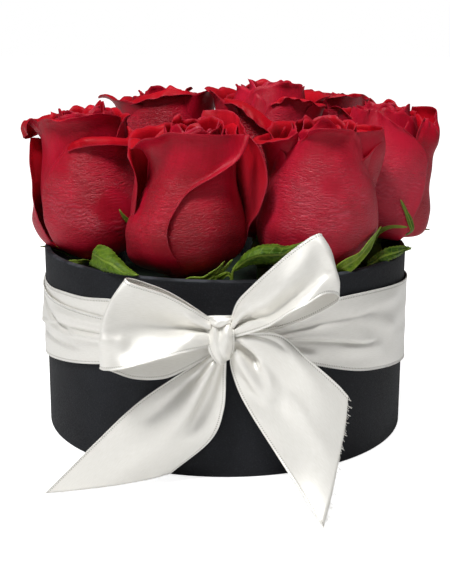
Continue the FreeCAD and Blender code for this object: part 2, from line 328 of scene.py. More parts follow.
def colour(red, green, blue):
    return (red, green, blue, 1.0)


# Pinks painted as highlights: one over the petals' bellies, a paler one on their wrinkles' crests.
PAINTED_HIGHLIGHT_BELLY = colour(0.56, 0.075, 0.12)
PAINTED_HIGHLIGHT_CREST = colour(0.68, 0.11, 0.165)


def petal_material(name, deep, bright, edge_colour, crinkle, sheen):
    """Velvety petal skin: long veins, a painted highlight over the belly and on its wrinkles' crests, fine
    crinkles between them, and a thin edge of its own colour."""
    s = Shader(name)
    edge, along, tint = s.sheet_data()
    grain = s.grain()
    patches = s.noise(s.place(), 0.07, 3.0)
    veins = s.noise(s.scaled(grain, (1.1, 0.035, 1.0)), 1.0, 3.0, 0.4)
    share = s.math("MULTIPLY_ADD", veins, 0.2, s.math("MULTIPLY", patches, 0.6))
    share = s.math("MULTIPLY_ADD", tint, 0.3, share)
    skin = s.mix(s.span(share, 0.3, 0.85), deep, bright)
    rim = s.span(s.math("ADD", edge, s.math("MULTIPLY", patches, 0.6)), 0.4, 1.3, 1.0, 0.0)
    skin = s.mix(s.math("MULTIPLY", rim, 0.75), skin, edge_colour)
    folds = s.noise(s.scaled(grain, (0.20, 0.95, 1.0)), 1.0, 2.5, 1.3)
    ridges = s.math("SUBTRACT", 1.0, s.math("ABSOLUTE", s.math("MULTIPLY_ADD", folds, 4.0, -2.0)))
    belly = s.math("MULTIPLY", s.span(along, 0.08, 0.3), s.span(along, 0.45, 0.85, 1.0, 0.25))
    spots = s.span(s.noise(s.place(), 0.045, 1.0), 0.30, 0.5, 0.35, 1.0)
    strength = s.math("MULTIPLY", s.math("MULTIPLY", belly, spots), crinkle)
    normal = s.bump(ridges, 0.5, strength)
    normal = s.bump(s.noise(grain, 2.2, 2.0), 0.12, 0.7, normal)
    crest = s.node("Attribute", {}, attribute_name="crest").outputs["Fac"]
    # Painted highlight over the belly, stronger on sheets with a higher tint.
    belly_highlight = s.math("MULTIPLY", s.math("MULTIPLY", belly, s.span(tint, 0.4, 0.8)), 0.22)
    skin = s.mix(belly_highlight, skin, PAINTED_HIGHLIGHT_BELLY)
    # Paler painted highlight on the crests of the wrinkles.
    skin = s.mix(s.math("MULTIPLY", s.span(crest, 0.30, 0.95), 0.24), skin, PAINTED_HIGHLIGHT_CREST)
    return s.surface({
        "Base Color": skin, "Roughness": s.span(veins, 0.2, 0.8, 0.38, 0.50),
        "Specular IOR Level": s.math("MULTIPLY_ADD", strength, 0.28, 0.10),
        "Sheen Weight": sheen, "Sheen Roughness": 0.45, "Sheen Tint": colour(0.95, 0.30, 0.38),
        "Subsurface Weight": 0.10, "Subsurface Radius": (1.0, 0.12, 0.1), "Subsurface Scale": 1.2 * MM,
        "Normal": normal})


SIDE_VEIN_PITCH = 4.4


def leaf_material(name, deep, bright, vein_colour):
    """Waxy leaf: pale midrib and side veins, mottled green between them."""
    s = Shader(name)
    edge, along, tint = s.sheet_data()
    grain = s.grain()
    across, lengthwise, _ = s.node("SeparateXYZ", {0: grain}).outputs
    aside = s.math("ABSOLUTE", across)
    mottle = s.noise(s.place(), 0.35, 4.0)
    skin = s.mix(s.span(s.math("MULTIPLY_ADD", tint, 0.4, mottle), 0.45, 0.95), deep, bright)
    slanted = s.math("MULTIPLY_ADD", aside, -0.8, lengthwise)
    stripe = s.math("PINGPONG", slanted, SIDE_VEIN_PITCH / 2)
    side_veins = s.span(stripe, 0.0, 0.35, 1.0, 0.0)
    midrib = s.span(aside, 0.15, 0.6, 1.0, 0.0)
    net = s.noise(s.place(), 1.6, 2.0)
    veins = s.math("MAXIMUM", midrib, s.math("MULTIPLY", side_veins, 0.55))
    skin = s.mix(s.math("MULTIPLY", veins, 0.8), skin, vein_colour)
    skin = s.mix(s.span(edge, 0.0, 0.7, 0.5, 0.0), skin, vein_colour)
    relief = s.math("SUBTRACT", s.math("MULTIPLY", net, 0.5), veins)
    return s.surface({
        "Base Color": skin, "Roughness": s.span(mottle, 0.3, 0.7, 0.45, 0.62), "Specular IOR Level": 0.16,
        "Subsurface Weight": 0.08, "Subsurface Radius": (0.4, 1.0, 0.1), "Subsurface Scale": 1.0 * MM,
        "Normal": s.bump(relief, 0.25, 0.8)})


WEFT_PITCH = 0.28


def satin_material():
    """Ivory satin: smooth lengthwise sheen, faint weave, and a stitched selvedge along both edges,
    with painted shade in its stitch holes.
    """
    s = Shader("ribbon_satin")
    edge = s.sheet_data()[0]
    grain = s.grain()
    lengthwise = s.node("SeparateXYZ", {0: grain}).outputs[1]
    threads = s.noise(s.scaled(grain, (6.0, 0.35, 1.0)), 1.0, 2.0)
    weft = s.math("SINE", s.math("MULTIPLY", lengthwise, 2 * math.pi / WEFT_PITCH))
    body = s.mix(s.span(threads, 0.3, 0.7), colour(0.80, 0.783, 0.73), colour(0.86, 0.845, 0.80))
    stitch = s.math("SINE", s.math("MULTIPLY", lengthwise, 2 * math.pi / SELVEDGE_PITCH))
    beside = s.math("MULTIPLY", s.span(edge, 0.55, 0.75), s.span(edge, 1.05, 1.3, 1.0, 0.0))
    shaded_stitch_holes = s.math("MULTIPLY", beside, s.span(stitch, -0.1, 0.5))
    selvedge = s.span(edge, 0.45, 0.7, 1.0, 0.0)
    body = s.mix(selvedge, body, colour(0.90, 0.89, 0.86))
    # Painted shade in the stitch holes beside the selvedge.
    body = s.mix(s.math("MULTIPLY", shaded_stitch_holes, 0.75), body, colour(0.34, 0.32, 0.27))
    relief = s.math("SUBTRACT", selvedge, shaded_stitch_holes)
    normal = s.bump(relief, 0.15, 0.8)
    normal = s.bump(s.math("MULTIPLY_ADD", weft, 0.2, threads), 0.03, 0.6, normal)
    tangent = s.node("Tangent", {}, direction_type="UV_MAP", uv_map="grain").outputs[0]
    return s.surface({
        "Base Color": body, "Roughness": s.span(threads, 0.2, 0.8, 0.34, 0.44), "Specular IOR Level": 0.7,
        "Metallic": 0.28, "Anisotropic": 0.5, "Tangent": tangent, "Normal": normal})


def paper_material(name, base, fleck):
    """Matt wrapping paper with a fine pressed grain and pale flecks, and a thin painted highlight, with a
    little wear, along the top of the rim.
    """
    s = Shader(name)
    place = s.place()
    grain = s.noise(place, 1.9, 3.0)
    fibres = s.noise(s.scaled(place, (0.5, 0.5, 2.2)), 1.2, 3.0, 0.5)
    clouds = s.noise(place, 0.03, 2.0)
    flecks = s.span(s.noise(place, 1.8, 2.0), 0.52, 0.75)
    body = s.mix(s.span(clouds, 0.3, 0.7, 0.0, 0.2), base, fleck)
    body = s.mix(s.math("MULTIPLY", flecks, 0.5), body, fleck)
    height = s.node("SeparateXYZ", {0: place}).outputs[2]
    near_rim = s.span(height, BOX_TOP - 1.0, BOX_TOP - 0.5)
    # A thin painted highlight along the top of the rim, with a little wear, lightens the paper there.
    rim_highlight_and_wear = s.math("MULTIPLY", near_rim, s.span(s.noise(place, 0.08, 2.0), 0.45, 0.65))
    body = s.mix(s.math("MULTIPLY", rim_highlight_and_wear, 0.35), body, colour(0.12, 0.13, 0.15))
    relief = s.math("MULTIPLY_ADD", fibres, 0.6, grain)
    return s.surface({
        "Base Color": body, "Roughness": s.span(grain, 0.3, 0.7, 0.6, 0.78), "Specular IOR Level": 0.16,
        "Normal": s.bump(relief, 0.2, 0.8)})


def board_material():
    """Grey board: layered fibres seen at its edges."""
    s = Shader("grey_board")
    place = s.place()
    layers = s.noise(s.scaled(place, (0.3, 0.3, 4.0)), 1.0, 4.0)
    body = s.mix(layers, colour(0.22, 0.19, 0.15), colour(0.42, 0.38, 0.32))
    return s.surface({"Base Color": body, "Roughness": 0.9, "Normal": s.bump(layers, 0.2, 0.7)})


def film_material():
    """Clear waterproof film, slightly milky and creased."""
    s = Shader("clear_film")
    place = s.place()
    creases = s.noise(s.scaled(place, (0.15, 0.15, 0.05)), 1.0, 4.0, 0.8)
    tone = s.mix(creases, colour(0.10, 0.12, 0.12), colour(0.24, 0.26, 0.26))
    return s.surface({
        "Base Color": tone, "Roughness": s.span(creases, 0.3, 0.7, 0.12, 0.3), "Transmission Weight": 0.85,
        "IOR": 1.45, "Normal": s.bump(creases, 0.6, 0.5)})


def foam_material():
    """Wet floral foam: dark green, made darker still as painted shade for the inside of the box, and
    open pores with painted shade in them.
    """
    s = Shader("wet_floral_foam")
    place = s.place()
    pores = s.node("TexVoronoi", {"Vector": place, "Scale": 1.4}).outputs["Distance"]
    damp = s.noise(place, 0.08, 3.0)
    # Dark green, made darker still as painted shade for the inside of the box.
    body = s.mix(s.span(damp, 0.3, 0.7), colour(0.003, 0.012, 0.005), colour(0.007, 0.026, 0.010))
    # Painted shade in the pores.
    body = s.mix(s.span(pores, 0.0, 0.35, 0.6, 0.0), body, colour(0.002, 0.009, 0.003))
    rough = s.span(damp, 0.3, 0.7, 0.55, 0.8)
    return s.surface({"Base Color": body, "Roughness": rough, "Normal": s.bump(pores, 0.4, 0.9)})


def stem_material():
    """Rose stem: green bark with fine ribs and reddish patches."""
    s = Shader("rose_stem")
    place = s.place()
    ribs = s.noise(s.scaled(place, (1.2, 1.2, 0.06)), 1.0, 3.0)
    blush = s.span(s.noise(place, 0.12, 2.0), 0.5, 0.75)
    body = s.mix(ribs, colour(0.07, 0.15, 0.03), colour(0.16, 0.28, 0.07))
    body = s.mix(s.math("MULTIPLY", blush, 0.5), body, colour(0.16, 0.05, 0.03))
    return s.surface({"Base Color": body, "Roughness": 0.5, "Normal": s.bump(ribs, 0.25, 0.7)})


PETAL_OUTSIDE = petal_material(
    "petal_outside", colour(0.28, 0.001, 0.009), colour(0.52, 0.004, 0.028), colour(0.33, 0.007, 0.020),
    crinkle=0.8, sheen=0.03)
PETAL_INSIDE = petal_material(
    "petal_inside", colour(0.30, 0.001, 0.006), colour(0.52, 0.002, 0.012), colour(0.36, 0.012, 0.028),
    crinkle=0.1, sheen=0.02)
PETAL_HEART = petal_material(
    "petal_heart", colour(0.30, 0.002, 0.014), colour(0.50, 0.010, 0.038), colour(0.44, 0.035, 0.065),
    crinkle=0.4, sheen=0.04)
LEAF_TOP = leaf_material(
    "leaf_top", colour(0.018, 0.055, 0.003), colour(0.085, 0.150, 0.009), colour(0.18, 0.255, 0.03))
LEAF_UNDER = leaf_material(
    "leaf_under", colour(0.03, 0.06, 0.006), colour(0.08, 0.13, 0.015), colour(0.14, 0.20, 0.03))
SEPAL = leaf_material(
    "sepal", colour(0.05, 0.11, 0.006), colour(0.17, 0.25, 0.014), colour(0.24, 0.32, 0.05))
SATIN = satin_material()
BLACK_PAPER = paper_material("black_paper", colour(0.010, 0.0105, 0.0125), colour(0.030, 0.034, 0.042))
LINING_PAPER = paper_material("black_lining", colour(0.012, 0.012, 0.014), colour(0.03, 0.03, 0.035))


# ---------------------------------------------------------------- roses


# How wide and how high the inner petals stand, and how far their tops lean to the right, as factors.
INNER_SHAPE = {
    "rose_1": (0.90, 1.0, 0.28), "rose_2": (0.92, 1.0, -0.06), "rose_3": (0.97, 0.99, 0.06),
    "rose_4": (0.97, 1.0, 0.0), "rose_5": (1.05, 0.965, 0.0), "rose_6": (1.12, 0.99, 0.05),
    "rose_7": (1.05, 1.0, 0.1),
}


@dataclass
class Head:
    """A rose head's own frame: where it starts, its axes as columns, and its size."""

    name: str
    start: np.ndarray
    axes: np.ndarray
    radius: float
    height: float

    def place(self, grid):
        return self.start + grid @ self.axes.T

    def place_inner(self, grid):
        """As `place`, for petals near the middle, which in some heads leans aside towards its top."""
        wide, high, right = INNER_SHAPE[self.name]
        bent = grid * np.array([wide, wide, high])
        bent[..., 0] += right * self.radius * (grid[..., 2] / self.height) ** 2
        return self.place(bent)


def head_of(name):
    """The rose head's frame and size, measured on its CAD nodes along the rose's pull axis."""
    joint = next(j for j in frame["joints"] if j["name"] == name + "_pull")
    axis = Vector(joint["axis"])
    axes = np.array(Vector((0, 0, 1)).rotation_difference(axis).to_matrix())

    def own_box(node):
        points = np.array([v.co for v in frame["nodes"][node].data.vertices]) / MM @ axes
        return points.min(axis=0), points.max(axis=0)

    low, high = own_box(f"{name}_heart")
    start = (low + high) / 2
    start[2] = low[2] - HEART_FOOT
    wide_low, wide_high = own_box(f"{name}_outer_petals")
    top = own_box(f"{name}_inner_petals")[1][2]
    return Head(name, axes @ start, axes, (wide_high[0] - wide_low[0]) / 2, top - start[2])


@dataclass
class Petal:
    """One petal. Radii and heights are shares of the head's. Pairs are (left, right) or (belly, rim)."""

    at: float  # direction of its middle
    belly: tuple = (1.0, 0.31)  # radius and height of its fullest part
    neck: tuple = (0.86, 0.66)  # radius and height where it is drawn in
    rim: tuple = (0.95, 0.88)  # radius and height where the lip starts
    lip: tuple = (0.10, 70.0)  # length of the lip and the degrees by which it turns out
    half: tuple = (1.1, 0.95)  # half width at the belly and at the rim
    flat: tuple = (1.0, 1.15)  # bend radius over distance to the axis, at the belly and at the rim
    corner: tuple = (0.12, 0.12)  # how much shorter the petal is at its left and right edges
    corner_power: float = 3.0
    ruffle: float = 0.02
    lean: float = 0.0  # degrees by which the rim is turned round the head from the foot
    # Own tint, which also sets how strong the painted highlight over the belly is.
    tint: float = 0.5
    fine: int = 36  # grid steps


LIP_STEPS = 5
SIDE_POINTS = 240  # on a petal's middle line


def side_line(petal, head):
    """Middle line of a petal as points (radius, height), from the heart's foot to the tip of its lip."""
    size = np.array([head.radius, head.height])
    belly, neck, rim = (np.array(p) * size for p in (petal.belly, petal.neck, petal.rim))
    points = [(4.0, 0.5), (belly[0] * 0.62, belly[1] * 0.16), (belly[0] * 0.9, belly[1] * 0.5), belly]
    points += [(belly + neck) / 2 + np.array([0.02 * head.radius, 0]), neck, rim]
    length, turn = petal.lip[0] * head.height, math.radians(petal.lip[1])
    heading = math.atan2(rim[0] - neck[0], rim[1] - neck[1])
    spot = rim.copy()
    for _ in range(LIP_STEPS):
        heading += turn / LIP_STEPS
        spot = spot + length / LIP_STEPS * np.array([math.sin(heading), math.cos(heading)])
        points.append(spot)
    return evenly(sampled(points, 16), SIDE_POINTS)


RAGGED_HEIGHT = 0.34
RAGGED_REACH = 2.2  # how far from the edge the small waves fade away


def ragged(rng, u, v, edge):
    """Small sharp waves along a petal's free edge, in mm."""
    near_edge = np.exp(-edge / RAGGED_REACH) * smooth_step((v - 0.35) / 0.3)
    return RAGGED_HEIGHT * waves(rng, u, v, 9.0, 8) * near_edge


PETAL_SWELL = 0.026  # height of a petal's broad soft waves, as a share of the head's radius
NET_SWELL = 0.012  # the same for one given as a net


def petal_sheet(petal, head, rng, inner=False):
    """A petal bent round the head, made from its middle line and its half width at each height."""
    line = side_line(petal, head)
    shares = np.linspace(0, 1, len(line))
    belly_at = shares[np.argmin(np.abs(line[:, 1] - petal.belly[1] * head.height))]
    u = np.linspace(-1, 1, petal.fine + 1)[None, :]
    v = np.linspace(0, 1, petal.fine + 1)[:, None]
    drop = np.where(u < 0, petal.corner[0], petal.corner[1]) * np.abs(u) ** petal.corner_power
    drop = drop + petal.ruffle * 0.6 * (1 + waves(rng, u, 0 * u, 4.0))
    t = v * (1 - np.clip(drop, 0, 1))
    radius = np.interp(t, shares, line[:, 0])
    height = np.interp(t, shares, line[:, 1])
    opening = np.sin(math.pi / 2 * np.clip((t + 0.05) / (belly_at + 0.05), 0, 1)) ** 0.8
    past = smooth_step((t - belly_at) / (1 - belly_at))
    half = head.radius * opening * (petal.half[0] + (petal.half[1] - petal.half[0]) * past)
    half = np.minimum(half, 2.4 * radius)
    bend = np.maximum(radius, 3.0) * (petal.flat[0] + (petal.flat[1] - petal.flat[0]) * past)
    x = u * half
    heading = x / bend
    step = np.diff(x, axis=1)
    middle = (heading[:, 1:] + heading[:, :-1]) / 2
    start = np.zeros((len(v), 1))
    aside = np.concatenate([start, np.cumsum(np.cos(middle) * step, axis=1)], axis=1)
    out = np.concatenate([start, np.cumsum(-np.sin(middle) * step, axis=1)], axis=1)
    aside -= aside[:, petal.fine // 2][:, None]
    out += radius - out[:, petal.fine // 2][:, None]
    angle = np.radians(petal.at + petal.lean * t)
    grid = np.stack([out * np.sin(angle) + aside * np.cos(angle),
                     -out * np.cos(angle) + aside * np.sin(angle),
                     np.broadcast_to(height, out.shape)], axis=-1)
    swell = PETAL_SWELL * head.radius * waves(rng, u, t, 1.9) * smooth_step(t / 0.3)
    frill = petal.ruffle * head.radius * waves(rng, u, t, 5.0) * np.maximum(t**5, np.abs(u) ** 6 * t)
    edge = np.minimum((1 - np.abs(u)) * half, (1 - v) * head.height)
    grid = grid + normals_of(grid) * (swell + frill + ragged(rng, u, v, edge))[:, :, None]
    placed = head.place_inner(grid) if inner else head.place(grid)
    return Sheet(placed, PETAL_THICKNESS, edge, petal.tint)


@dataclass
class Sculpted:
    """A petal given as a net: rows from near its foot to its lip, each from its left edge to its right.
    A point is (direction, radius, height), the last two in hundredths of the head's."""

    rows: list
    ruffle: float = 0.012
    crinkle: float = 0.0  # height of the fine wrinkles, in mm
    slant: float = 0.4  # rise of the wrinkles' lines from right to left
    # Own tint, which also sets how strong the painted highlight over the belly is.
    tint: float = 0.5
    steps: tuple = (17, 13)  # grid steps between two rows, and between two points of a row


HUNDREDTHS = (1, 100, 100)  # what the three values of a net's point are divided by
FOOT = (0.2, 0.012)  # radius and height, as shares, at which petals grow from the hip
CRINKLE_PITCH = 1.65
FULL_CRINKLE = 0.25  # height of wrinkles whose crests get the full painted highlight


def crinkles(rng, across, along, slant):
    """Fine wavy wrinkles over the fullest part of a petal, from 0 to 1."""
    warp = waves(rng, across / 9, along / 12, 1.0, 8)
    warp = warp + 0.42 * waves(rng, across / 2.2, along / 5, 1.0, 9)
    ridge = 0.5 + 0.5 * np.cos(2 * math.pi * ((along + slant * across) / CRINKLE_PITCH + warp))
    gate = smooth_step(0.62 + 0.45 * waves(rng, across / 7, along / 6, 1.0, 8))
    share = along / along.max()
    zone = gate * smooth_step((share - 0.12) / 0.2) * smooth_step((0.80 - share) / 0.25)
    return zone * (0.25 + 0.75 * ridge**1.3)


def sculpted_sheet(petal, head, rng):
    """A petal given as a net, with its swell, frilled rim, wrinkles and ragged edge."""
    net = np.array(petal.rows) / HUNDREDTHS
    foot = net[:1].copy()
    foot[..., 1:] = FOOT
    net = smooth_net(np.concatenate([foot, net]), *petal.steps)
    turn = np.radians(net[..., 0])
    radius = net[..., 1] * head.radius
    grid = np.stack([radius * np.sin(turn), -radius * np.cos(turn), net[..., 2] * head.height], axis=-1)
    rows, columns = grid.shape[:2]
    u = np.linspace(-1, 1, columns)[None, :]
    v = np.linspace(0, 1, rows)[:, None]
    across, along = distances(grid, 1), distances(grid, 0)
    edge = np.minimum(side_distance(grid), along[-1:] - along)
    swell = NET_SWELL * head.radius * waves(rng, u, v, 2.2) * smooth_step(v / 0.3)
    frill = petal.ruffle * head.radius * waves(rng, u, v, 6.0) * np.maximum(v**6, np.abs(u) ** 8 * v)
    crest = np.zeros(across.shape)
    if petal.crinkle:
        middle = across - across.mean(axis=1, keepdims=True)
        crest = smooth_step(edge / 5.0) * crinkles(rng, middle, along, petal.slant)
    relief = swell + frill + ragged(rng, u, v, edge) - petal.crinkle * crest
    grid = grid + normals_of(grid) * relief[:, :, None]
    # How much of the painted highlight each wrinkle's crest gets.
    share = crest * min(1.0, petal.crinkle / FULL_CRINKLE)
    return Sheet(head.place(grid), PETAL_THICKNESS, edge, petal.tint, share)


BUD_INSIDE, BUD_OUTSIDE = 0.03, 0.17  # radii of the bud's first and last turns
BUD_FOOT, BUD_TOP = 0.45, 0.90
BUD_TURNS = 2.4
BUD_STEPS = (90, 18)  # grid points round and up


def bud_sheet(head, at, rng):
    """The tight bud in the middle: one sheet wound inwards, its rim opened a little."""
    u = np.linspace(0, 1, BUD_STEPS[0])[None, :]
    v = np.linspace(0, 1, BUD_STEPS[1])[:, None]
    angle = np.radians(at) + u * BUD_TURNS * 2 * math.pi
    opened = 0.9 + 0.1 * v + 0.12 * smooth_step((v - 0.86) / 0.14)
    radius = head.radius * (BUD_OUTSIDE + (BUD_INSIDE - BUD_OUTSIDE) * u) * opened
    radius = radius * (1 + 0.10 * np.sin(3 * angle + at))
    rise = BUD_TOP - BUD_FOOT - 0.03 * u + 0.012 * waves(rng, u * 6, v * 0, 1.5)
    height = head.height * (BUD_FOOT + rise * v)
    grid = np.stack([radius * np.sin(angle), -radius * np.cos(angle), height], axis=-1)
    edge = np.broadcast_to((1 - v) * head.height, radius.shape)
    return Sheet(head.place_inner(grid), PETAL_THICKNESS, edge)


def ring_sheets(head, rng, ruffle, rings):
    """Rings of petals that lean in over the heart. A ring is (radius, number of petals, height of the rim,
    turn of the lip in degrees, grid steps)."""
    sheets = []
    at = rng.uniform(0, 360)
    for outward, count, top, turn, fine in rings:
        for k in range(count):
            close = outward * rng.uniform(0.95, 1.05)
            petal = Petal(
                at + k * 360 / count + rng.uniform(-12, 12), belly=(close * 1.22, 0.50),
                neck=(close * 1.06, 0.78), rim=(close * 0.90, top + rng.uniform(-0.04, 0.02)),
                lip=(rng.uniform(0.03, 0.06), turn + rng.uniform(-30, 30)),
                half=(outward * 1.6, outward * 1.35), flat=(1.0, rng.uniform(0.97, 1.12)),
                corner=(rng.uniform(0.1, 0.3), rng.uniform(0.1, 0.3)), corner_power=2.0,
                ruffle=ruffle, lean=rng.uniform(-6, 6), tint=rng.uniform(0.2, 0.9), fine=fine)
            sheets.append(petal_sheet(petal, head, rng, inner=True))
        at += 40
    return sheets


def heart_sheets(head, rng):
    """Bud and the small petals close round it."""
    bud = bud_sheet(head, rng.uniform(0, 360), rng)
    return [bud] + ring_sheets(head, rng, 0.012, ((0.24, 3, 0.905, 40, 26), (0.35, 3, 0.93, 50, 30)))


def inner_sheets(head, rng):
    """Two rings of larger petals between the heart and the outer ones."""
    return ring_sheets(head, rng, 0.032, ((0.48, 4, 0.95, 60, 38), (0.62, 4, 0.935, 90, 44)))


FULL = Petal(
    0, neck=(0.84, 0.66), rim=(0.90, 0.86), lip=(0.07, 90), half=(1.3, 1.1), flat=(0.93, 0.88), fine=44)


def full(at, depth, **changes):
    """A broad outer petal whose fullest part is at `depth`, so that petals lie inside each other."""
    return replace(FULL, at=at, belly=(depth, changes.pop("belly_height", 0.34)), **changes)


# The petals that can be seen from the front. Of rose 1: the broad front petal with its right edge rolled
# out, the petal under it, and one at the right that stands off and shows its inside.
FRONT_ROLLED = Sculpted([
    [(-118, 80, 10), (-86, 92, 11), (-52, 84, 14), (-30, 80, 14), (-12, 80, 15), (-8, 81, 15)],
    [(-122, 98, 24), (-86, 102, 26), (-56, 100, 28), (-36, 100, 29), (-19, 100, 30), (-15, 101, 30)],
    [(-120, 92, 42), (-86, 96, 38), (-54, 97, 41), (-35, 99, 42), (-19, 100, 43), (-15, 103, 43)],
    [(-115, 72, 56), (-84, 69, 50), (-48, 80, 54), (-27, 86, 55), (-10, 90, 55), (-6, 94, 54)],
    [(-112, 60, 68), (-82, 56, 63), (-42, 66, 66), (-18, 72, 66), (5, 80, 64), (8, 88, 63)],
    [(-110, 58, 78), (-80, 55, 73), (-38, 62, 76), (-8, 70, 77), (34, 84, 73), (37, 97, 71)],
    [(-108, 68, 85), (-76, 66, 82), (-37, 68, 87), (-4, 70, 89), (52, 90, 82), (62, 104, 78)],
    [(-104, 84, 87), (-72, 84, 84), (-36, 86, 93), (-2, 80, 96), (66, 95, 90), (76, 109, 88)],
], crinkle=0.07, slant=-0.9, tint=0.42)
UNDER_ROLLED = Sculpted([
    [(-22, 74, 10), (0, 77, 14), (22, 78, 15), (44, 78, 15), (84, 78, 13), (112, 78, 12)],
    [(-26, 95, 28), (-6, 95, 32), (18, 95, 32), (44, 95, 30), (86, 92, 25), (112, 95, 28)],
    [(-24, 92, 42), (-4, 93, 46), (20, 93, 46), (44, 93, 45), (86, 88, 39), (112, 92, 44)],
    [(-18, 78, 57), (1, 81, 59), (23, 83, 58), (47, 85, 57), (86, 82, 52), (110, 85, 56)],
    [(-8, 66, 70), (12, 69, 69), (32, 73, 69), (54, 79, 69), (84, 81, 64), (108, 85, 68)],
    [(2, 60, 80), (25, 63, 77), (44, 68, 77), (66, 76, 77), (82, 84, 75), (106, 86, 79)],
], crinkle=0.04, tint=0.2)
STANDING_OFF = Sculpted([
    [(80, 84, 17), (90, 80, 16), (108, 80, 14), (130, 84, 12), (162, 84, 12)],
    [(76, 101, 33), (88, 92, 30), (106, 93, 34), (132, 96, 30), (164, 96, 30)],
    [(73, 120, 43), (86, 98, 42), (104, 92, 48), (132, 94, 46), (164, 92, 46)],
    [(72, 133, 55), (85, 103, 54), (102, 86, 62), (130, 88, 60), (162, 84, 60)],
    [(74, 135, 66), (86, 106, 66), (102, 86, 74), (128, 86, 74), (160, 80, 74)],
    [(77, 126, 78), (90, 105, 79), (105, 92, 86), (128, 90, 88), (160, 82, 90)],
    [(83, 108, 87), (96, 100, 89), (111, 96, 94), (130, 96, 97), (158, 90, 96)],
], ruffle=0.02, tint=0.7)
# Of rose 2: the front petal, and a lobe that flares out at each side of it.
BROAD_FRONT = Sculpted([
    [(-98, 74, 10), (-80, 80, 12), (-46, 80, 12), (-12, 80, 12), (26, 80, 13), (82, 83, 16), (112, 76, 12)],
    [(-98, 96, 28), (-82, 97, 27), (-48, 100, 29), (-14, 100, 31), (22, 100, 32), (84, 100, 31),
     (112, 98, 29)],
    [(-94, 90, 44), (-76, 93, 42), (-48, 94, 44), (-14, 97, 47), (20, 98, 48), (84, 99, 43), (112, 96, 44)],
    [(-86, 84, 56), (-66, 86, 56), (-44, 87, 58), (-13, 90, 61), (20, 92, 62), (70, 90, 58), (88, 90, 57)],
    [(-72, 78, 66), (-54, 80, 70), (-40, 81, 72), (-12, 84, 75), (18, 84, 76), (52, 80, 70), (68, 84, 66)],
    [(-56, 72, 76), (-46, 76, 80), (-34, 77, 83), (-12, 80, 87), (15, 76, 87), (36, 78, 83), (51, 80, 78)],
    [(-40, 72, 84), (-34, 76, 88), (-26, 78, 91), (-9, 82, 95), (15, 74, 94), (28, 78, 92), (42, 78, 87)],
    [(-30, 78, 88), (-26, 84, 92), (-20, 90, 96), (-3, 93, 98), (15, 82, 98), (26, 84, 97), (37, 80, 92)],
], crinkle=0.24, tint=0.6, steps=(24, 13))
LEFT_LOBE = Sculpted([
    [(-150, 78, 10), (-120, 78, 10), (-92, 76, 10), (-62, 74, 10), (-34, 72, 10)],
    [(-150, 94, 28), (-120, 94, 28), (-92, 92, 28), (-62, 92, 28), (-36, 92, 28)],
    [(-150, 88, 48), (-120, 86, 48), (-92, 82, 48), (-62, 80, 48), (-36, 80, 48)],
    [(-148, 82, 64), (-120, 82, 64), (-90, 86, 63), (-72, 80, 66), (-50, 70, 70)],
    [(-146, 86, 76), (-120, 88, 76), (-86, 96, 75), (-66, 86, 78), (-46, 68, 82)],
    [(-144, 94, 84), (-120, 98, 83), (-82, 108, 82), (-60, 96, 86), (-42, 70, 89)],
    [(-144, 102, 84), (-120, 108, 81), (-78, 118, 80), (-56, 112, 85), (-38, 78, 92)],
], tint=0.35)
RIGHT_LOBE = Sculpted([
    [(56, 72, 10), (85, 74, 10), (110, 76, 10), (135, 78, 10), (160, 78, 10)],
    [(54, 90, 28), (85, 92, 28), (110, 94, 28), (135, 95, 28), (160, 95, 28)],
    [(52, 84, 46), (85, 87, 46), (110, 90, 46), (135, 92, 46), (160, 92, 46)],
    [(30, 74, 58), (62, 82, 60), (98, 92, 60), (130, 90, 60), (160, 88, 60)],
    [(22, 70, 70), (54, 76, 71), (96, 98, 71), (130, 96, 72), (158, 84, 72)],
    [(16, 68, 80), (48, 74, 81), (94, 100, 81), (130, 100, 82), (156, 86, 82)],
    [(12, 66, 88), (44, 72, 90), (92, 96, 90), (130, 100, 90), (156, 90, 90)],
    [(8, 66, 92), (40, 72, 95.5), (90, 92, 95), (130, 102, 93), (156, 100, 90)],
], tint=0.5)
# Of rose 3: the front petal with its lip folded down, one curled out at the left, and the flare above it.
FOLDED_FRONT = Sculpted([
    [(-50, 82, 10), (-32, 80, 7), (-10, 80, 5), (14, 80, 5), (62, 78, 6), (104, 80, 12)],
    [(-56, 100, 25), (-39, 100, 23), (-10, 100, 21), (20, 100, 20), (74, 97, 19), (106, 100, 28)],
    [(-53, 102, 38), (-38, 100, 37), (-8, 100, 37), (24, 100, 35), (78, 98, 32), (106, 98, 44)],
    [(-48, 100, 50), (-34, 97, 51), (-4, 98, 51), (28, 96, 48), (78, 93, 44), (104, 92, 58)],
    [(-36, 88, 63), (-23, 88, 64), (2, 90, 64), (34, 88, 61), (74, 88, 57), (98, 86, 68)],
    [(-20, 81, 71), (-10, 82, 73), (10, 84, 72), (36, 84, 69), (70, 89, 66), (90, 84, 76)],
    [(-14, 79, 74), (-3, 82, 77), (17, 84, 78), (40, 86, 76.5), (66, 92, 73.5), (82, 84, 80)],
    [(-14, 81, 73), (-3, 87, 76), (15, 93, 77), (34, 98, 75.5), (62, 102, 72.5), (78, 96, 77)],
    [(-15, 82, 70), (-4, 89, 72.5), (14, 97, 73.5), (33, 103, 72.5), (60, 106, 69.5), (76, 98, 74)],
], crinkle=0.24, tint=0.5, steps=(22, 14))
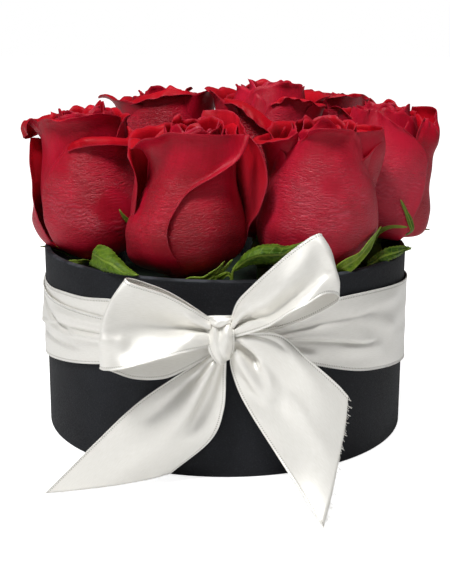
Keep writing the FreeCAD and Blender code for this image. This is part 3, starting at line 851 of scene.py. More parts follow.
LEFT_CURLED = Sculpted([
    [(-170, 80, 10), (-140, 82, 10), (-112, 94, 8), (-88, 90, 9), (-66, 80, 10)],
    [(-170, 96, 28), (-140, 100, 28), (-112, 118, 24), (-90, 116, 25), (-68, 102, 26)],
    [(-168, 92, 44), (-138, 92, 44), (-110, 102, 38), (-92, 104, 40), (-74, 106, 41)],
    [(-166, 86, 58), (-136, 82, 58), (-106, 86, 50), (-92, 92, 52), (-78, 103, 53)],
    [(-164, 84, 72), (-134, 82, 72), (-106, 80, 63), (-92, 88, 65), (-78, 102, 65)],
    [(-162, 86, 78), (-134, 86, 77), (-110, 84, 71), (-96, 90, 72), (-83, 99, 73)],
    [(-160, 92, 84), (-134, 92, 83), (-114, 86, 77), (-102, 88, 78), (-92, 95, 79)],
], tint=0.7)
LEFT_FLARE = Sculpted([
    [(-150, 70, 10), (-125, 72, 10), (-100, 72, 10), (-72, 72, 10)],
    [(-150, 84, 30), (-125, 86, 30), (-100, 86, 30), (-72, 84, 30)],
    [(-148, 80, 50), (-124, 80, 50), (-100, 76, 50), (-73, 74, 50)],
    [(-146, 74, 66), (-122, 74, 66), (-99, 72, 67), (-74, 68, 68)],
    [(-144, 76, 78), (-121, 78, 78), (-98, 78, 78), (-74, 70, 80)],
    [(-142, 86, 87), (-120, 90, 86), (-98, 92, 86), (-74, 78, 88)],
    [(-140, 98, 90), (-119, 107, 88), (-99, 106, 90), (-75, 86, 91)],
    [(-140, 104, 86), (-118, 120, 82), (-100, 117, 85), (-77, 94, 88)],
    [(-140, 102, 81), (-116, 118, 77), (-101, 113, 79), (-80, 97, 84)],
], ruffle=0.035, tint=0.3)
# Of rose 4: the front petal, whose rim slopes down to the right, and the flare at the right.
SLOPING_FRONT = Sculpted([
    [(-84, 76, 10), (-50, 78, 10), (-14, 80, 8), (16, 82, 6), (32, 86, 5)],
    [(-86, 98, 28), (-60, 96, 25), (-22, 100, 24), (13, 100, 23), (37, 104, 22)],
    [(-84, 98, 44), (-57, 97, 41), (-22, 100, 40), (14, 100, 40), (48, 104, 38)],
    [(-80, 90, 60), (-50, 94, 57), (-21, 96, 56), (13, 98, 56), (52, 102, 54)],
    [(-74, 84, 74), (-44, 93, 70), (-22, 92, 70), (9, 93, 69), (47, 98, 66)],
    [(-66, 80, 86), (-38, 90, 82), (-24, 86, 83), (-1, 87, 81), (30, 92, 76)],
    [(-60, 78, 93), (-34, 88, 92), (-24, 82, 93), (-8, 86, 89), (16, 94, 81)],
], crinkle=0.26, slant=0.1, tint=0.8, steps=(24, 18))
RIGHT_FLARE = Sculpted([
    [(40, 72, 10), (58, 80, 8), (84, 92, 6), (116, 80, 12), (148, 80, 12)],
    [(40, 92, 28), (58, 97, 24), (84, 106, 22), (116, 96, 30), (148, 95, 28)],
    [(40, 92, 46), (58, 96, 42), (83, 98, 40), (114, 94, 46), (146, 92, 46)],
    [(40, 86, 60), (58, 90, 56), (83, 98, 53), (112, 92, 62), (144, 88, 60)],
    [(42, 78, 72), (58, 86, 68), (82, 97, 64), (110, 94, 74), (142, 86, 72)],
    [(46, 74, 80), (60, 86, 76), (81, 103, 73), (108, 100, 84), (140, 88, 82)],
    [(54, 74, 86), (66, 84, 83), (82, 103, 80), (106, 103, 90), (140, 90, 90)],
    [(62, 74, 90), (72, 80, 88), (86, 92, 86), (104, 98, 96), (138, 88, 95)],
], ruffle=0.025, tint=0.5)
# Of roses 5, 6 and 7 at the back: rims rolled outwards, seen over the front roses.
ROLLED_RIM = Sculpted([
    [(-88, 78, 10), (-52, 80, 10), (-16, 80, 10), (20, 80, 10), (56, 80, 10), (92, 80, 10)],
    [(-90, 100, 34), (-54, 100, 34), (-16, 100, 34), (20, 100, 34), (58, 100, 34), (94, 100, 34)],
    [(-88, 94, 54), (-52, 95, 54), (-14, 98, 54), (20, 98, 54), (60, 96, 54), (94, 95, 54)],
    [(-84, 80, 70), (-42, 90, 72), (-8, 95, 73), (19, 96, 72), (66, 84, 70), (90, 86, 66)],
    [(-78, 76, 78), (-34, 87, 82), (-5, 92, 83), (18, 92, 83), (64, 82, 77), (86, 82, 74)],
    [(-72, 74, 82), (-28, 88, 88), (-4, 92, 91), (17, 92, 92), (60, 82, 87), (82, 86, 80)],
    [(-68, 80, 80), (-24, 100, 85), (-5, 106, 87), (16, 104, 89), (58, 90, 86), (82, 98, 78)],
], ruffle=0.02, crinkle=0.18, slant=-0.3)
LONG_ROLL = Sculpted([
    [(-98, 78, 10), (-66, 80, 10), (-35, 80, 10), (-4, 80, 10), (26, 80, 10)],
    [(-100, 100, 34), (-68, 100, 34), (-36, 100, 34), (-4, 100, 34), (28, 100, 34)],
    [(-98, 94, 52), (-66, 96, 52), (-34, 98, 50), (-5, 98, 48), (24, 96, 46)],
    [(-84, 83, 68), (-46, 90, 68), (-24, 92, 66), (-5, 93, 62), (21, 93, 56)],
    [(-76, 80, 78), (-40, 86, 77), (-19, 88, 73), (-2, 90, 69), (18, 91, 63)],
    [(-71, 76, 85), (-36, 86, 85), (-16, 88, 81), (0, 90, 76), (18, 92, 70)],
    [(-71, 83, 86), (-35, 98, 85), (-17, 104, 80), (-2, 108, 73), (16, 104, 67)],
    [(-70, 87, 83), (-34, 105, 83), (-18, 112, 77), (-3, 114, 70), (14, 110, 62)],
], crinkle=0.1, tint=0.4)
HIGH_RIM = Sculpted([
    [(-12, 76, 10), (18, 78, 10), (47, 78, 10), (76, 78, 10), (106, 78, 10)],
    [(-14, 95, 34), (18, 97, 34), (48, 97, 34), (78, 97, 34), (108, 97, 34)],
    [(-12, 90, 54), (18, 93, 54), (48, 94, 54), (78, 94, 54), (108, 94, 54)],
    [(-8, 80, 68), (20, 84, 66), (46, 88, 66), (78, 90, 66), (106, 90, 66)],
    [(-4, 76, 79), (19, 80, 80), (42, 86, 79), (78, 96, 77), (104, 94, 78)],
    [(2, 74, 84), (22, 78, 87), (41, 88, 86), (76, 103, 83), (102, 100, 84)],
    [(4, 76, 83), (24, 90, 88), (40, 100, 86), (74, 108, 82), (102, 108, 83)],
], ruffle=0.03, crinkle=0.12, tint=0.7)
BACK_FLARE = Sculpted([
    [(-4, 78, 10), (24, 80, 10), (52, 80, 10), (80, 80, 10), (108, 80, 10)],
    [(-6, 98, 34), (24, 100, 34), (52, 100, 34), (80, 100, 34), (110, 100, 34)],
    [(-4, 92, 54), (24, 94, 54), (52, 95, 54), (80, 95, 54), (108, 94, 54)],
    [(-2, 84, 70), (24, 88, 70), (52, 92, 70), (80, 92, 70), (106, 90, 70)],
    [(0, 84, 82), (26, 92, 83), (52, 98, 83), (79, 98, 83), (104, 96, 82)],
    [(4, 90, 91), (28, 102, 93), (52, 110, 94), (78, 108, 92), (102, 102, 88)],
    [(8, 96, 95), (30, 112, 97), (53, 120, 98), (76, 118, 94), (100, 110, 88)],
    [(12, 102, 93), (32, 117, 95), (54, 125, 95), (74, 122, 90), (98, 114, 84)],
], ruffle=0.035, crinkle=0.15, tint=0.5)

# Each rose's outer petals. The first ones are its own; the others are much alike.
OUTER_PETALS = {
    "rose_1": [FRONT_ROLLED, UNDER_ROLLED, STANDING_OFF, full(-158, 0.95),
               full(-112, 0.86, neck=(0.50, 0.64), rim=(0.52, 0.80)), full(150, 0.88)],
    "rose_2": [BROAD_FRONT, LEFT_LOBE, RIGHT_LOBE, full(178, 0.98), full(-130, 0.88), full(120, 0.86)],
    "rose_3": [FOLDED_FRONT, LEFT_CURLED, LEFT_FLARE,
               full(112, 0.95, neck=(0.82, 0.64), rim=(0.84, 0.82), lip=(0.05, 70), corner=(0.3, 0.3)),
               full(-14, 0.90, belly_height=0.44, neck=(0.76, 0.72), rim=(0.74, 0.87), lip=(0.10, 115),
                    flat=(1.0, 1.02), corner=(0.15, 0.1), corner_power=2.0, half=(1.3, 1.2)),
               full(175, 0.93)],
    "rose_4": [SLOPING_FRONT, RIGHT_FLARE, full(-108, 0.96), full(168, 0.97), full(-150, 0.92)],
    "rose_5": [ROLLED_RIM,
               full(-92, 0.96, neck=(0.80, 0.62), rim=(0.94, 0.84), lip=(0.14, 80), ruffle=0.04,
                    flat=(0.93, 0.90)),
               full(80, 0.95, neck=(0.90, 0.66), rim=(0.99, 0.88), lip=(0.10, 80), ruffle=0.035),
               full(152, 0.93), full(-145, 0.92)],
    "rose_6": [LONG_ROLL, HIGH_RIM,
               full(-104, 0.955, neck=(0.93, 0.66), rim=(0.97, 0.85), lip=(0.10, 80), ruffle=0.035),
               full(118, 0.94, rim=(0.95, 0.84), lip=(0.12, 80)), full(180, 0.93)],
    "rose_7": [BACK_FLARE, full(-30, 0.93, ruffle=0.03), full(-100, 0.95), full(-160, 0.98), full(140, 0.90)],
}
SEEDS = {name: 11 * (k + 1) for k, name in enumerate(ROSE_NAMES)}


@dataclass
class Sepal:
    """A sepal follows the petals from the hip and then turns away from them."""

    at: float  # direction of its middle
    reach: float = 24.0  # length
    width: float = 7.0
    turn: float = 35.0  # degrees by which its tip turns outwards
    path: tuple = ()  # for one that can be seen: its own points instead, given as in a petal's net
    tint: float = 0.6  # from dark to light


SEPALS = {
    "rose_1": [Sepal(0, width=6, path=((4, 104, 9), (15, 106, 10), (24, 107, 14), (31, 110, 20))),
               Sepal(0, width=3, path=((20, 105, 12), (29, 107, 14), (38, 112, 20))),
               Sepal(0, width=3, path=((26, 106, 10), (33, 110, 12), (36, 112, 9), (33, 112, 6))),
               Sepal(-60, 17, 5, 20), Sepal(172), Sepal(-116)],
    "rose_2": [Sepal(0, width=5.5, path=((23, 104, 15), (39, 106, 21), (52, 106, 28), (75, 108, 36))),
               Sepal(-20, 12, 5, 30), Sepal(122), Sepal(-92), Sepal(-164)],
    "rose_3": [Sepal(0, width=2.8, tint=-1, path=((47, 98, 16), (44, 103, 22), (37, 104, 28), (33, 105, 33))),
               Sepal(0, width=2.5, path=((-12, 102, 4), (-21, 114, 5), (-29, 116, 2), (-36, 118, -1))),
               Sepal(124), Sepal(-92), Sepal(-164)],
    "rose_4": [Sepal(0, width=3, tint=-1, path=((38, 101, 12), (34, 103, 17), (24, 105, 27), (17, 106, 34))),
               Sepal(0, width=2, path=((-6, 105, 2), (-2, 107, 10), (8, 112, 15), (24, 118, 16))),
               Sepal(90), Sepal(162), Sepal(-122)],
}
HIP = (25, -2)  # radius and height, in hundredths of the head's, at which sepals leave the hip
SEPAL_STEPS = 12  # of each half of a plain sepal's middle line
HIP_PROFILE = [(-13.5, 3.0), (-12.0, 4.6), (-9.0, 5.8), (-5.0, 6.0), (-2.0, 5.0), (-0.5, 5.6)]  # (up, radius)


def sepal_line(sepal, head):
    """Middle line of a sepal in the head's own frame."""
    if sepal.path:
        path = np.array([(sepal.path[0][0], *HIP), *sepal.path]) / HUNDREDTHS
        angle, path = path[:, 0], path[:, 1:] * np.array([head.radius, head.height])
    else:
        line = side_line(replace(FULL, belly=(1.02, 0.34)), head)
        rise = np.concatenate([[0.0], np.cumsum(np.linalg.norm(np.diff(line, axis=0), axis=1))])
        path = [(2.0, -1.5)]
        for reach in np.linspace(0, sepal.reach * 0.55, SEPAL_STEPS):
            path.append((np.interp(reach, rise, line[:, 0]) + 0.9, np.interp(reach, rise, line[:, 1]) - 0.6))
        heading = math.atan2(path[-1][0] - path[-2][0], path[-1][1] - path[-2][1])
        step = sepal.reach * 0.45 / SEPAL_STEPS
        for _ in range(SEPAL_STEPS):
            heading += math.radians(sepal.turn) / SEPAL_STEPS
            path.append((path[-1][0] + step * math.sin(heading), path[-1][1] + step * math.cos(heading)))
        angle, path = sepal.at, np.array(path)
    turn = np.radians(angle)
    points = np.stack([path[:, 0] * np.sin(turn), -path[:, 0] * np.cos(turn), path[:, 1]], axis=-1)
    return evenly(sampled(points, 8), 41)


def sepal_sheet(sepal, head, rng):
    line = sepal_line(sepal, head)
    v = np.linspace(0, 1, len(line))[:, None]
    u = np.linspace(-1, 1, 13)[None, :]
    teeth = 1 + 0.16 * np.sin(v * 23 + rng.uniform(0, 6)) * smooth_step(v / 0.3)
    half = sepal.width / 2 * np.sin(math.pi * np.clip(v * 0.9 + 0.1, 0, 1)) ** 0.7 * teeth + 0.12
    outward = line * np.array([1, 1, 0])
    outward /= np.linalg.norm(outward, axis=1, keepdims=True)
    aside = np.cross(np.gradient(line, axis=0), outward)
    aside /= np.linalg.norm(aside, axis=1, keepdims=True)
    cup = 0.25 * half * u**2 + 0.25 * waves(rng, u, v, 3.0) * v
    grid = line[:, None] + aside[:, None] * (u * half)[..., None] + outward[:, None] * cup[..., None]
    return Sheet(head.place(grid), SEPAL_THICKNESS, (1 - np.abs(u)) * half, sepal.tint)


def make_calyx(head, rng):
    """Hip, receptacle and five sepals."""
    name = head.name
    profile = evenly(sampled(HIP_PROFILE, 10), 24)
    path = head.place(np.stack([0 * profile[:, 0], 0 * profile[:, 0], profile[:, 0]], axis=-1))
    parts = [tube_part(path, profile[:, 1], count=20)]
    sepals = SEPALS.get(name) or [Sepal(rng.uniform(0, 72) + 72 * k, rng.uniform(16, 26)) for k in range(5)]
    parts += [sepal_sheet(sepal, head, rng) for sepal in sepals]
    make_piece(f"{name}_sepals", parts, (SEPAL,), name, [f"{name}_calyx"])


def shape_of(petal, head, rng):
    if isinstance(petal, Sculpted):
        return sculpted_sheet(petal, head, rng)
    return petal_sheet(petal, head, rng)


def make_rose(name):
    head = head_of(name)
    rng = np.random.default_rng(SEEDS[name])
    heart = heart_sheets(head, rng)
    inner = inner_sheets(head, rng)
    outside = [shape_of(petal, head, rng) for petal in OUTER_PETALS[name]]
    skins = (PETAL_OUTSIDE, PETAL_INSIDE)
    make_piece(f"{name}_heart_petals", heart, (PETAL_HEART, PETAL_INSIDE), name, [f"{name}_heart"])
    make_piece(f"{name}_middle_petals", inner, skins, name, [f"{name}_inner_petals"])
    make_piece(f"{name}_broad_petals", outside, skins, name, [f"{name}_outer_petals"])
    make_calyx(head, rng)


for rose_name in ROSE_NAMES:
    make_rose(rose_name)


# ---------------------------------------------------------------- leaves

# Blades as nets: rows from the stalk to the tip, each from the upper edge to the lower one. A point is
# (along the rim, out from the liner, up from the rim), from the middle of the CAD leaf.
LEFT_BLADE = [
    [(-17, -1.5, 6), (-16.5, -1, 5.5), (-16.5, -1, 4.5), (-17, -1, 3)],
    [(-14, -2, 9), (-11.5, 1, 7.5), (-11, 2, 4.5), (-18, 0, 0.5)],
    [(-7.5, -2, 8.5), (-4.5, 2.5, 6.5), (-5, 4.5, 3.5), (-12.5, 1, -0.2)],
    [(-2.5, -1.5, 6), (0, 3, 4.8), (-1, 5, 2.3), (-6, 3.5, 0.1)],
    [(7, 1.5, 1.8), (6.5, 3.5, 1.6), (4.8, 5, 0.8), (1, 4.3, 0.4)],
    [(12, 4, 0.8), (11.4, 4.5, 0.7), (11, 4.7, 0.6), (10, 4.5, 0.5)],
]
MIDDLE_BLADE = [
    [(-16.6, 0, 4), (-16.2, 0.4, 3.8), (-16, 0, 3.4), (-15.9, -0.8, 2.8)],
    [(-14, -0.5, 7), (-13.9, 1.5, 6.8), (-13.5, 1.5, 6), (-12.8, -2, 4)],
    [(-12, -0.5, 10), (-11.7, 3, 9.5), (-11, 3, 8.2), (-9.2, -3, 5)],
    [(-9, -0.5, 12), (-9, 4.2, 11.4), (-8.4, 4, 9.3), (-6.2, -3, 5.3)],
    [(-5, -0.5, 13.4), (-5.6, 5, 12.7), (-5.3, 4.8, 9.8), (-3.2, -3, 5.2)],
    [(1, -0.5, 13.6), (-0.9, 5, 12.6), (-1.2, 4.8, 9.7), (0.7, -3, 5)],
    [(4.7, 0.2, 12.8), (2.9, 4.6, 12.1), (2.6, 4.6, 9.9), (4.4, -2, 5.9)],
    [(8.8, 1, 13.4), (7, 3.8, 13), (6.2, 3.8, 11.2), (6.6, 0, 8.7)],
    [(12.3, 2, 14.6), (12, 2.3, 14.5), (11.8, 2.3, 14.1), (11.4, 2, 13.7)],
]
RIGHT_BLADE = [
    [(-17, -3, -0.5), (-17.2, -2.5, -1), (-17, -2.5, -1.8), (-16.8, -2, -2.2)],
    [(-12.6, -3, 1), (-14, -1.2, 0.3), (-14.2, -0.5, -1), (-14, -0.5, -2)],
    [(-9.5, -1, 3.3), (-11.5, 1, 2.4), (-12, 2, 0.9), (-11.5, 2, -0.6)],
    [(-5.5, 1.5, 4.6), (-6.6, 2.8, 3.2), (-6.8, 3.6, 1.6), (-7, 3.9, 0.6)],
    [(0.4, 4.4, 4.6), (0.1, 5, 3.4), (-0.4, 5, 2), (-0.9, 4.6, 0.8)],
    [(4.7, 6.3, 3.9), (4.9, 6.2, 3.1), (4.3, 5.8, 2.3), (3.4, 5.4, 1.6)],
    [(7.8, 8, 3.1), (7.4, 8, 3), (7, 8, 2.9), (6.6, 7.8, 2.8)],
]


def plain_blade(slope, along=0.0, up=0.0, length=34.0, half_width=8.0):
    """A flat blade that leans out over the rim. The slope is its tip's direction, up from the rim."""
    turn = math.radians(slope)
    rows = []
    for v in np.linspace(0, 1, 7):
        half = half_width * (0.08 + math.sin(math.pi * v**0.85) ** 0.75)
        row = []
        for u in np.linspace(1, -1, 4):
            ahead, aside = length * (v - 0.1), half * u + 2.5 * math.sin(math.pi * v)
            rise = up + ahead * math.sin(turn) + aside * math.cos(turn)
            out = 4.0 * smooth_step(rise / 14.0) + 0.3 * half * (abs(u) - 0.5)
            row.append((along + ahead * math.cos(turn) - aside * math.sin(turn), out, rise))
        rows.append(row)
    return rows


BLADES = {
    "leaf_front_left": [LEFT_BLADE],
    "leaf_front_middle": [MIDDLE_BLADE],
    "leaf_front_right": [RIGHT_BLADE],
    "leaf_back_left": [plain_blade(62), plain_blade(140, 0, 2, 26, 6.5), plain_blade(12, 0, 2, 26, 6.5)],
    "leaf_back_middle": [plain_blade(105), plain_blade(165, 0, 2, 28, 7), plain_blade(30, 0, 2, 26, 6.5)],
    "leaf_back_right": [plain_blade(85), plain_blade(160, 0, 2, 26, 6.5), plain_blade(20, 0, 2, 28, 7)],
}
TOOTH = 0.7  # depth of the blades' teeth
TOOTH_PITCH = 2.1
BLADE_STEPS = 84  # along a blade
SIDE_VEINS = 9


def blade_sheet(rows, place, rng):
    """A serrated, veined blade."""
    grid = place(smooth_net(rows, BLADE_STEPS // (len(rows) - 1), 9))
    count, columns = grid.shape[:2]
    v = np.linspace(0, 1, count)[:, None]
    u = np.linspace(-1, 1, columns)[None, :]
    edge = side_distance(grid)
    aside = (grid[:, -1:] - grid[:, :1]) / distances(grid, 1)[:, -1:, None]
    at_edge = np.sign(u) * np.abs(u) ** 8 * smooth_step((1 - v) / 0.2)
    tooth = (distances(grid, 0) / TOOTH_PITCH) % 1.0 * at_edge
    grid = grid + aside * (TOOTH * tooth)[..., None]
    veins = np.abs(((v * SIDE_VEINS - 0.35 * np.abs(u)) % 1.0) - 0.5)
    relief = 0.2 * smooth_step(veins / 0.25) * (1 - 0.6 * np.abs(u)) - 0.3 * np.exp(-((u / 0.1) ** 2))
    grid = grid - normals_of(grid) * (relief + 0.25 * waves(rng, u, v, 3.5))[:, :, None]
    return Sheet(grid, LEAF_THICKNESS, edge, rng.uniform(0.2, 0.9))


STALK_RADII = (0.9, 0.35)  # at its foot and in the blade


def make_leaf(node, blades, rng):
    """The leaf's blades and its stalk, at the place of the CAD leaf."""
    points = np.array([v.co for v in frame["nodes"][node].data.vertices]) / MM
    middle = (points.min(axis=0) + points.max(axis=0)) / 2
    at = math.atan2(middle[0], -middle[1])
    liner = np.hypot(points[:, 0], points[:, 1]).max()

    def place(net):
        turn, out = at + net[..., 0] / liner, liner + net[..., 1]
        return np.stack([out * np.sin(turn), -out * np.cos(turn), BOX_TOP + net[..., 2]], axis=-1)

    parts = []
    for rows in blades:
        sheet = blade_sheet(rows, place, rng)
        base = np.mean(rows[0], axis=0)
        foot = (base[0], -3.0, points[:, 2].min() - BOX_TOP)
        stalk = place(np.array([foot, (base[0], -2.0, base[2] - 12), base]))
        path = sampled([*stalk, sheet.grid[6, sheet.grid.shape[1] // 2]], 8)
        parts += [sheet, tube_part(path, np.linspace(*STALK_RADII, len(path)))]
    make_piece(node + "_blade", parts, (LEAF_TOP, LEAF_UNDER), "insert", [node])


leaf_rng = np.random.default_rng(77)
for leaf_node, leaf_blades in BLADES.items():
    make_leaf(leaf_node, leaf_blades, leaf_rng)


# ---------------------------------------------------------------- ribbon

# Each net is rows of points from the knot outwards, each row from the upper or left edge across the ribbon.
# All are (right, out of the front, up) from the middle of the knot.
LEFT_LOOP_FRONT = [
    [(-4.5, 4, 10.5), (-4.5, 6, 8), (-4.5, 4, 5.5), (-4.5, 6.5, 3), (-4, 4.5, 0)],
    [(-12, 10, 16.5), (-12, 8, 11.5), (-12.5, 4.5, 7), (-12, 9.5, 4), (-12, 9, -0.5)],
    [(-22, 14.5, 23), (-21, 10, 15.5), (-21, 4.5, 7.5), (-20.5, 8.5, 3.5), (-20.5, 13, -1.5)],
    [(-30.5, 17, 26.5), (-31, 12, 18.5), (-31, 7, 9.5), (-30.5, 9.5, 3), (-30.5, 14.5, -4)],
    [(-35, 16.5, 28), (-38, 14, 20.5), (-40, 11, 11), (-39.5, 12.5, 2), (-39, 15.5, -6)],
    [(-37, 14, 28.7), (-42.5, 14.5, 20.5), (-45.5, 14, 11.5), (-46, 13.5, 1.5), (-45.5, 13, -7.3)],
]
LEFT_LOOP_BACK = [
    [(-37.4, 11, 28.5), (-44, 11, 18), (-47.2, 11, 8.5), (-47.7, 10.5, -0.5), (-48, 9.5, -7.8)],
    [(-36, 8, 28), (-43, 7, 17.5), (-45.5, 6.5, 7.5), (-46, 6, -1.5), (-44.5, 7, -9.5)],
    [(-31, 5.5, 26), (-35, 3.5, 14.5), (-36, 3, 4.5), (-36, 3.5, -4.5), (-35, 5, -13.5)],
    [(-21, 3.5, 21.5), (-23, 1.5, 11.5), (-24, 1, 2.5), (-24, 1.5, -5.5), (-23, 3.5, -13.8)],
    [(-12, 2, 15.5), (-13, 0.5, 9.5), (-13, 0, 3.5), (-13, 1, -3.5), (-12.5, 2.5, -9.3)],
    [(-4, 1, 9.5), (-4, 0, 6.5), (-4, 1, 3.5), (-4, 0, -0.5), (-3, 1, -4.5)],
]
RIGHT_LOOP_FRONT = [
    [(3, 3.5, 9), (3, 5.5, 7.5), (3, 4, 5.8), (3, 5.5, 4.5), (3, 4, 3)],
    [(5.7, 9.5, 18.8), (8, 10, 15), (9.5, 7, 11.5), (10.5, 9, 9.5), (11.5, 9.5, 7.1)],
    [(11, 13.5, 25.9), (15, 15.5, 20), (18, 11.5, 14.5), (18.3, 13.5, 13), (18.8, 14, 11.5)],
    [(18.5, 16, 33.7), (22, 18.5, 27), (25.5, 13.5, 21), (25.6, 15, 18.5), (25.2, 15.5, 16.4)],
    [(26, 16, 40.5), (29.5, 17.5, 33.5), (32.5, 13.5, 27), (32.5, 15, 23.5), (32, 15.5, 20.1)],
    [(32.5, 14.5, 45.1), (35.5, 15, 39.5), (38.5, 13.5, 33), (39, 14.5, 28.5), (38.2, 14.5, 23.5)],
    [(36, 12.5, 46.4), (39, 14.5, 41.5), (42, 15, 35), (43.5, 14.5, 29.5), (43, 12.5, 23.5)],
]
RIGHT_LOOP_BACK = [
    [(37.5, 10.5, 46), (41, 11.5, 40.5), (43.5, 11.5, 33.5), (44.8, 10.5, 27), (45.2, 10, 21)],
    [(37, 8.5, 45), (40.5, 8, 38.5), (42.5, 7, 30.5), (43, 6.5, 24.5), (43.3, 8, 18)],
    [(31, 6.5, 41.5), (33, 5.5, 34.5), (35, 4.5, 26.5), (35.5, 4.5, 19.5), (34.4, 6, 12.4)],
    [(22, 5.5, 33.5), (24, 4, 26.5), (25, 3, 20.5), (25, 3, 14.5), (23.5, 4, 7.5)],
    [(12, 4, 23.5), (13, 3, 18.5), (13.5, 2, 13.5), (14, 2, 10), (13.5, 3, 5)],
    [(4, 2, 9.5), (4, 1, 7.5), (4, 2, 6), (4, 1, 4.5), (4, 1.5, 2.5)],
]
LEFT_TAIL = [
    [(-4, 1.5, -4), (-3, 3.5, -4.5), (-1.5, 2, -5), (0, 3.5, -5), (1.5, 1.5, -5)],
    [(-12, 1.5, -9.5), (-8, 3, -10), (-5, 5.5, -10.5), (-1.5, 2, -11), (1.3, 2.5, -11.5)],
    [(-33, 4.5, -23.5), (-23, 4.5, -24), (-13.5, 5.5, -24.5), (-6.5, 1, -25.5), (0.5, 2, -27.5)],
    [(-50, 6.5, -39.5), (-38, 5.5, -40), (-25.5, 5.5, -40.5), (-13.5, 2.5, -41), (-4.8, 0, -41.5)],
    [(-71.6, 9, -61.1), (-59, 8, -60.3), (-44, 5.5, -59.3), (-31, 2, -58.3), (-21.5, -1.5, -57)],
]
RIGHT_TAIL = [
    [(3.2, 2.5, -3.5), (3.5, 4, -1.5), (4, 2.5, 0.5), (4, 4, 2), (3.5, 2.5, 3.5)],
    [(3.5, 2.5, -9.5), (7, 6.5, -7), (10.5, 4, -2), (11, 8.5, 4), (9.5, 7.5, 6)],
    [(6.5, 4.5, -18.5), (13, 8.5, -15.5), (18, 7.5, -8), (22, 12, 1), (22.5, 10.5, 6.2)],
    [(11.5, 8.5, -27), (19, 11.5, -23.5), (26, 11, -16.5), (31, 14, -7), (32.5, 11.5, -2.5)],
    [(21, 16.5, -40), (27, 18.5, -34.5), (34, 18.5, -27.5), (40.5, 16.5, -18.5), (44, 14, -12)],
    [(38.5, 39.5, -61.1), (42, 31.5, -52.5), (45, 24.5, -41.5), (48, 18.5, -28.5), (49.2, 15, -17.5)],
]
KNOT_WRAP = [
    [(-4.6, -6.6, 4.5), (-2.4, -6.4, 6), (0, -6.6, 6.2), (2.4, -6.4, 6), (4.6, -6.6, 4.5)],
    [(-4.8, -3.5, 7), (-2.4, -3, 8.4), (0, -3.5, 8), (2.4, -3, 8.4), (4.4, -3.5, 7)],
    [(-5, 0, 9), (-2.5, 1, 10.5), (0, 0, 9.6), (2.5, 1, 10.6), (4.6, 0, 9)],
    [(-5.8, 4, 8), (-2.8, 6, 9), (-0.5, 5, 8.2), (2.4, 6.5, 9.2), (4.4, 4.5, 8.6)],
    [(-6, 6, 3), (-3.2, 8.5, 3.6), (-0.8, 8.2, 3.8), (2, 9.4, 5), (4.4, 7, 5.5)],
    [(-4.8, 7, -2), (-2.2, 8.8, -1), (0, 9.2, -0.2), (2.6, 8.4, 1.2), (4.6, 6.4, 1.8)],
    [(-2.6, 6.4, -6), (-0.6, 8, -5), (1, 7.6, -4), (2.8, 6.8, -3), (4.2, 5, -2)],
    [(-1.6, 2, -8.5), (0, 3, -8), (1.2, 3, -7.2), (2.6, 2.6, -6.2), (3.6, 1.5, -5)],
    [(-2.4, -3, -7.4), (-0.4, -2.6, -7.8), (1.2, -2.6, -7.4), (2.8, -2.6, -6.8), (4.2, -3, -5.4)],
    [(-3.6, -6.4, -4.6), (-1.4, -6.4, -5.6), (1.2, -6.4, -5.8), (3.2, -6.4, -5.4), (4.8, -6.4, -4.2)],
]
KNOT_TUCK = [
    [(-6.8, 3, 11.2), (-5.5, 4.5, 10.2), (-4.5, 4.8, 8.2), (-4.2, 3, 6.5)],
    [(-4.4, 5, 12.2), (-3.6, 6.8, 10.6), (-3, 7, 8.6), (-2.8, 5, 7)],
    [(-1.2, 5.4, 12.4), (-1, 7.4, 11), (-0.6, 7.6, 9.4), (-0.4, 5.6, 8)],
    [(2, 4.6, 12.2), (2, 6.6, 11.2), (2.2, 6.8, 9.8), (2.2, 5, 8.4)],
    [(4.8, 2.4, 11.6), (4.9, 4, 10.8), (5, 4.2, 9.6), (5, 2.4, 8.4)],
]

# Grid steps between two rows and between two points of a row, and the height of the small creases.
LOOP_STEPS, LOOP_CREASE = (16, 12), 0.14
TAIL_STEPS, TAIL_CREASE = (16, 14), 0.12
WRAP_STEPS, TUCK_STEPS, KNOT_CREASE = (10, 9), (10, 8), 0.25
LOOP_LEAN = 4.0  # how far a loop's upper edge is set back and its lower one set forward
LEAN_SHARES = (0.0, 0.6, 1.0, 1.0, 0.8, 0.5, 0.2)  # from the knot outwards


@dataclass
class Fold:
    """A soft ridge (or, with a negative height, a groove) on a ribbon, from one spot to another."""

    start: tuple  # place along the ribbon, and share of its width from the first edge
    end: tuple
    height: float
    above: float = 0.10  # reach to each side, as a share of the width
    below: float = 0.10


LEFT_LOOP_FOLDS = [
    Fold((0.02, 0.50), (0.30, 0.50), -1.2, 0.05, 0.04), Fold((0.02, 0.62), (0.20, 0.66), 1.0, 0.05, 0.08),
    Fold((0.02, 0.28), (0.22, 0.22), 0.8, 0.08, 0.08), Fold((0.70, 0.70), (0.98, 0.66), 1.2, 0.06, 0.10),
]
RIGHT_LOOP_FOLDS = [
    Fold((0.04, 0.52), (0.22, 0.55), -1.6, 0.05, 0.03), Fold((0.02, 0.68), (0.28, 0.70), 0.7, 0.05, 0.05),
    Fold((0.02, 0.30), (0.20, 0.25), 0.9, 0.08, 0.08),
]
LEFT_TAIL_FOLDS = [
    Fold((0.04, 0.45), (0.62, 0.56), 1.3, 0.10, 0.07), Fold((0.16, 0.76), (0.66, 0.72), -1.5, 0.10, 0.09),
    Fold((0.04, 0.18), (0.30, 0.20), 0.8, 0.08, 0.08), Fold((0.30, 0.32), (0.60, 0.26), -0.6, 0.09, 0.09),
]
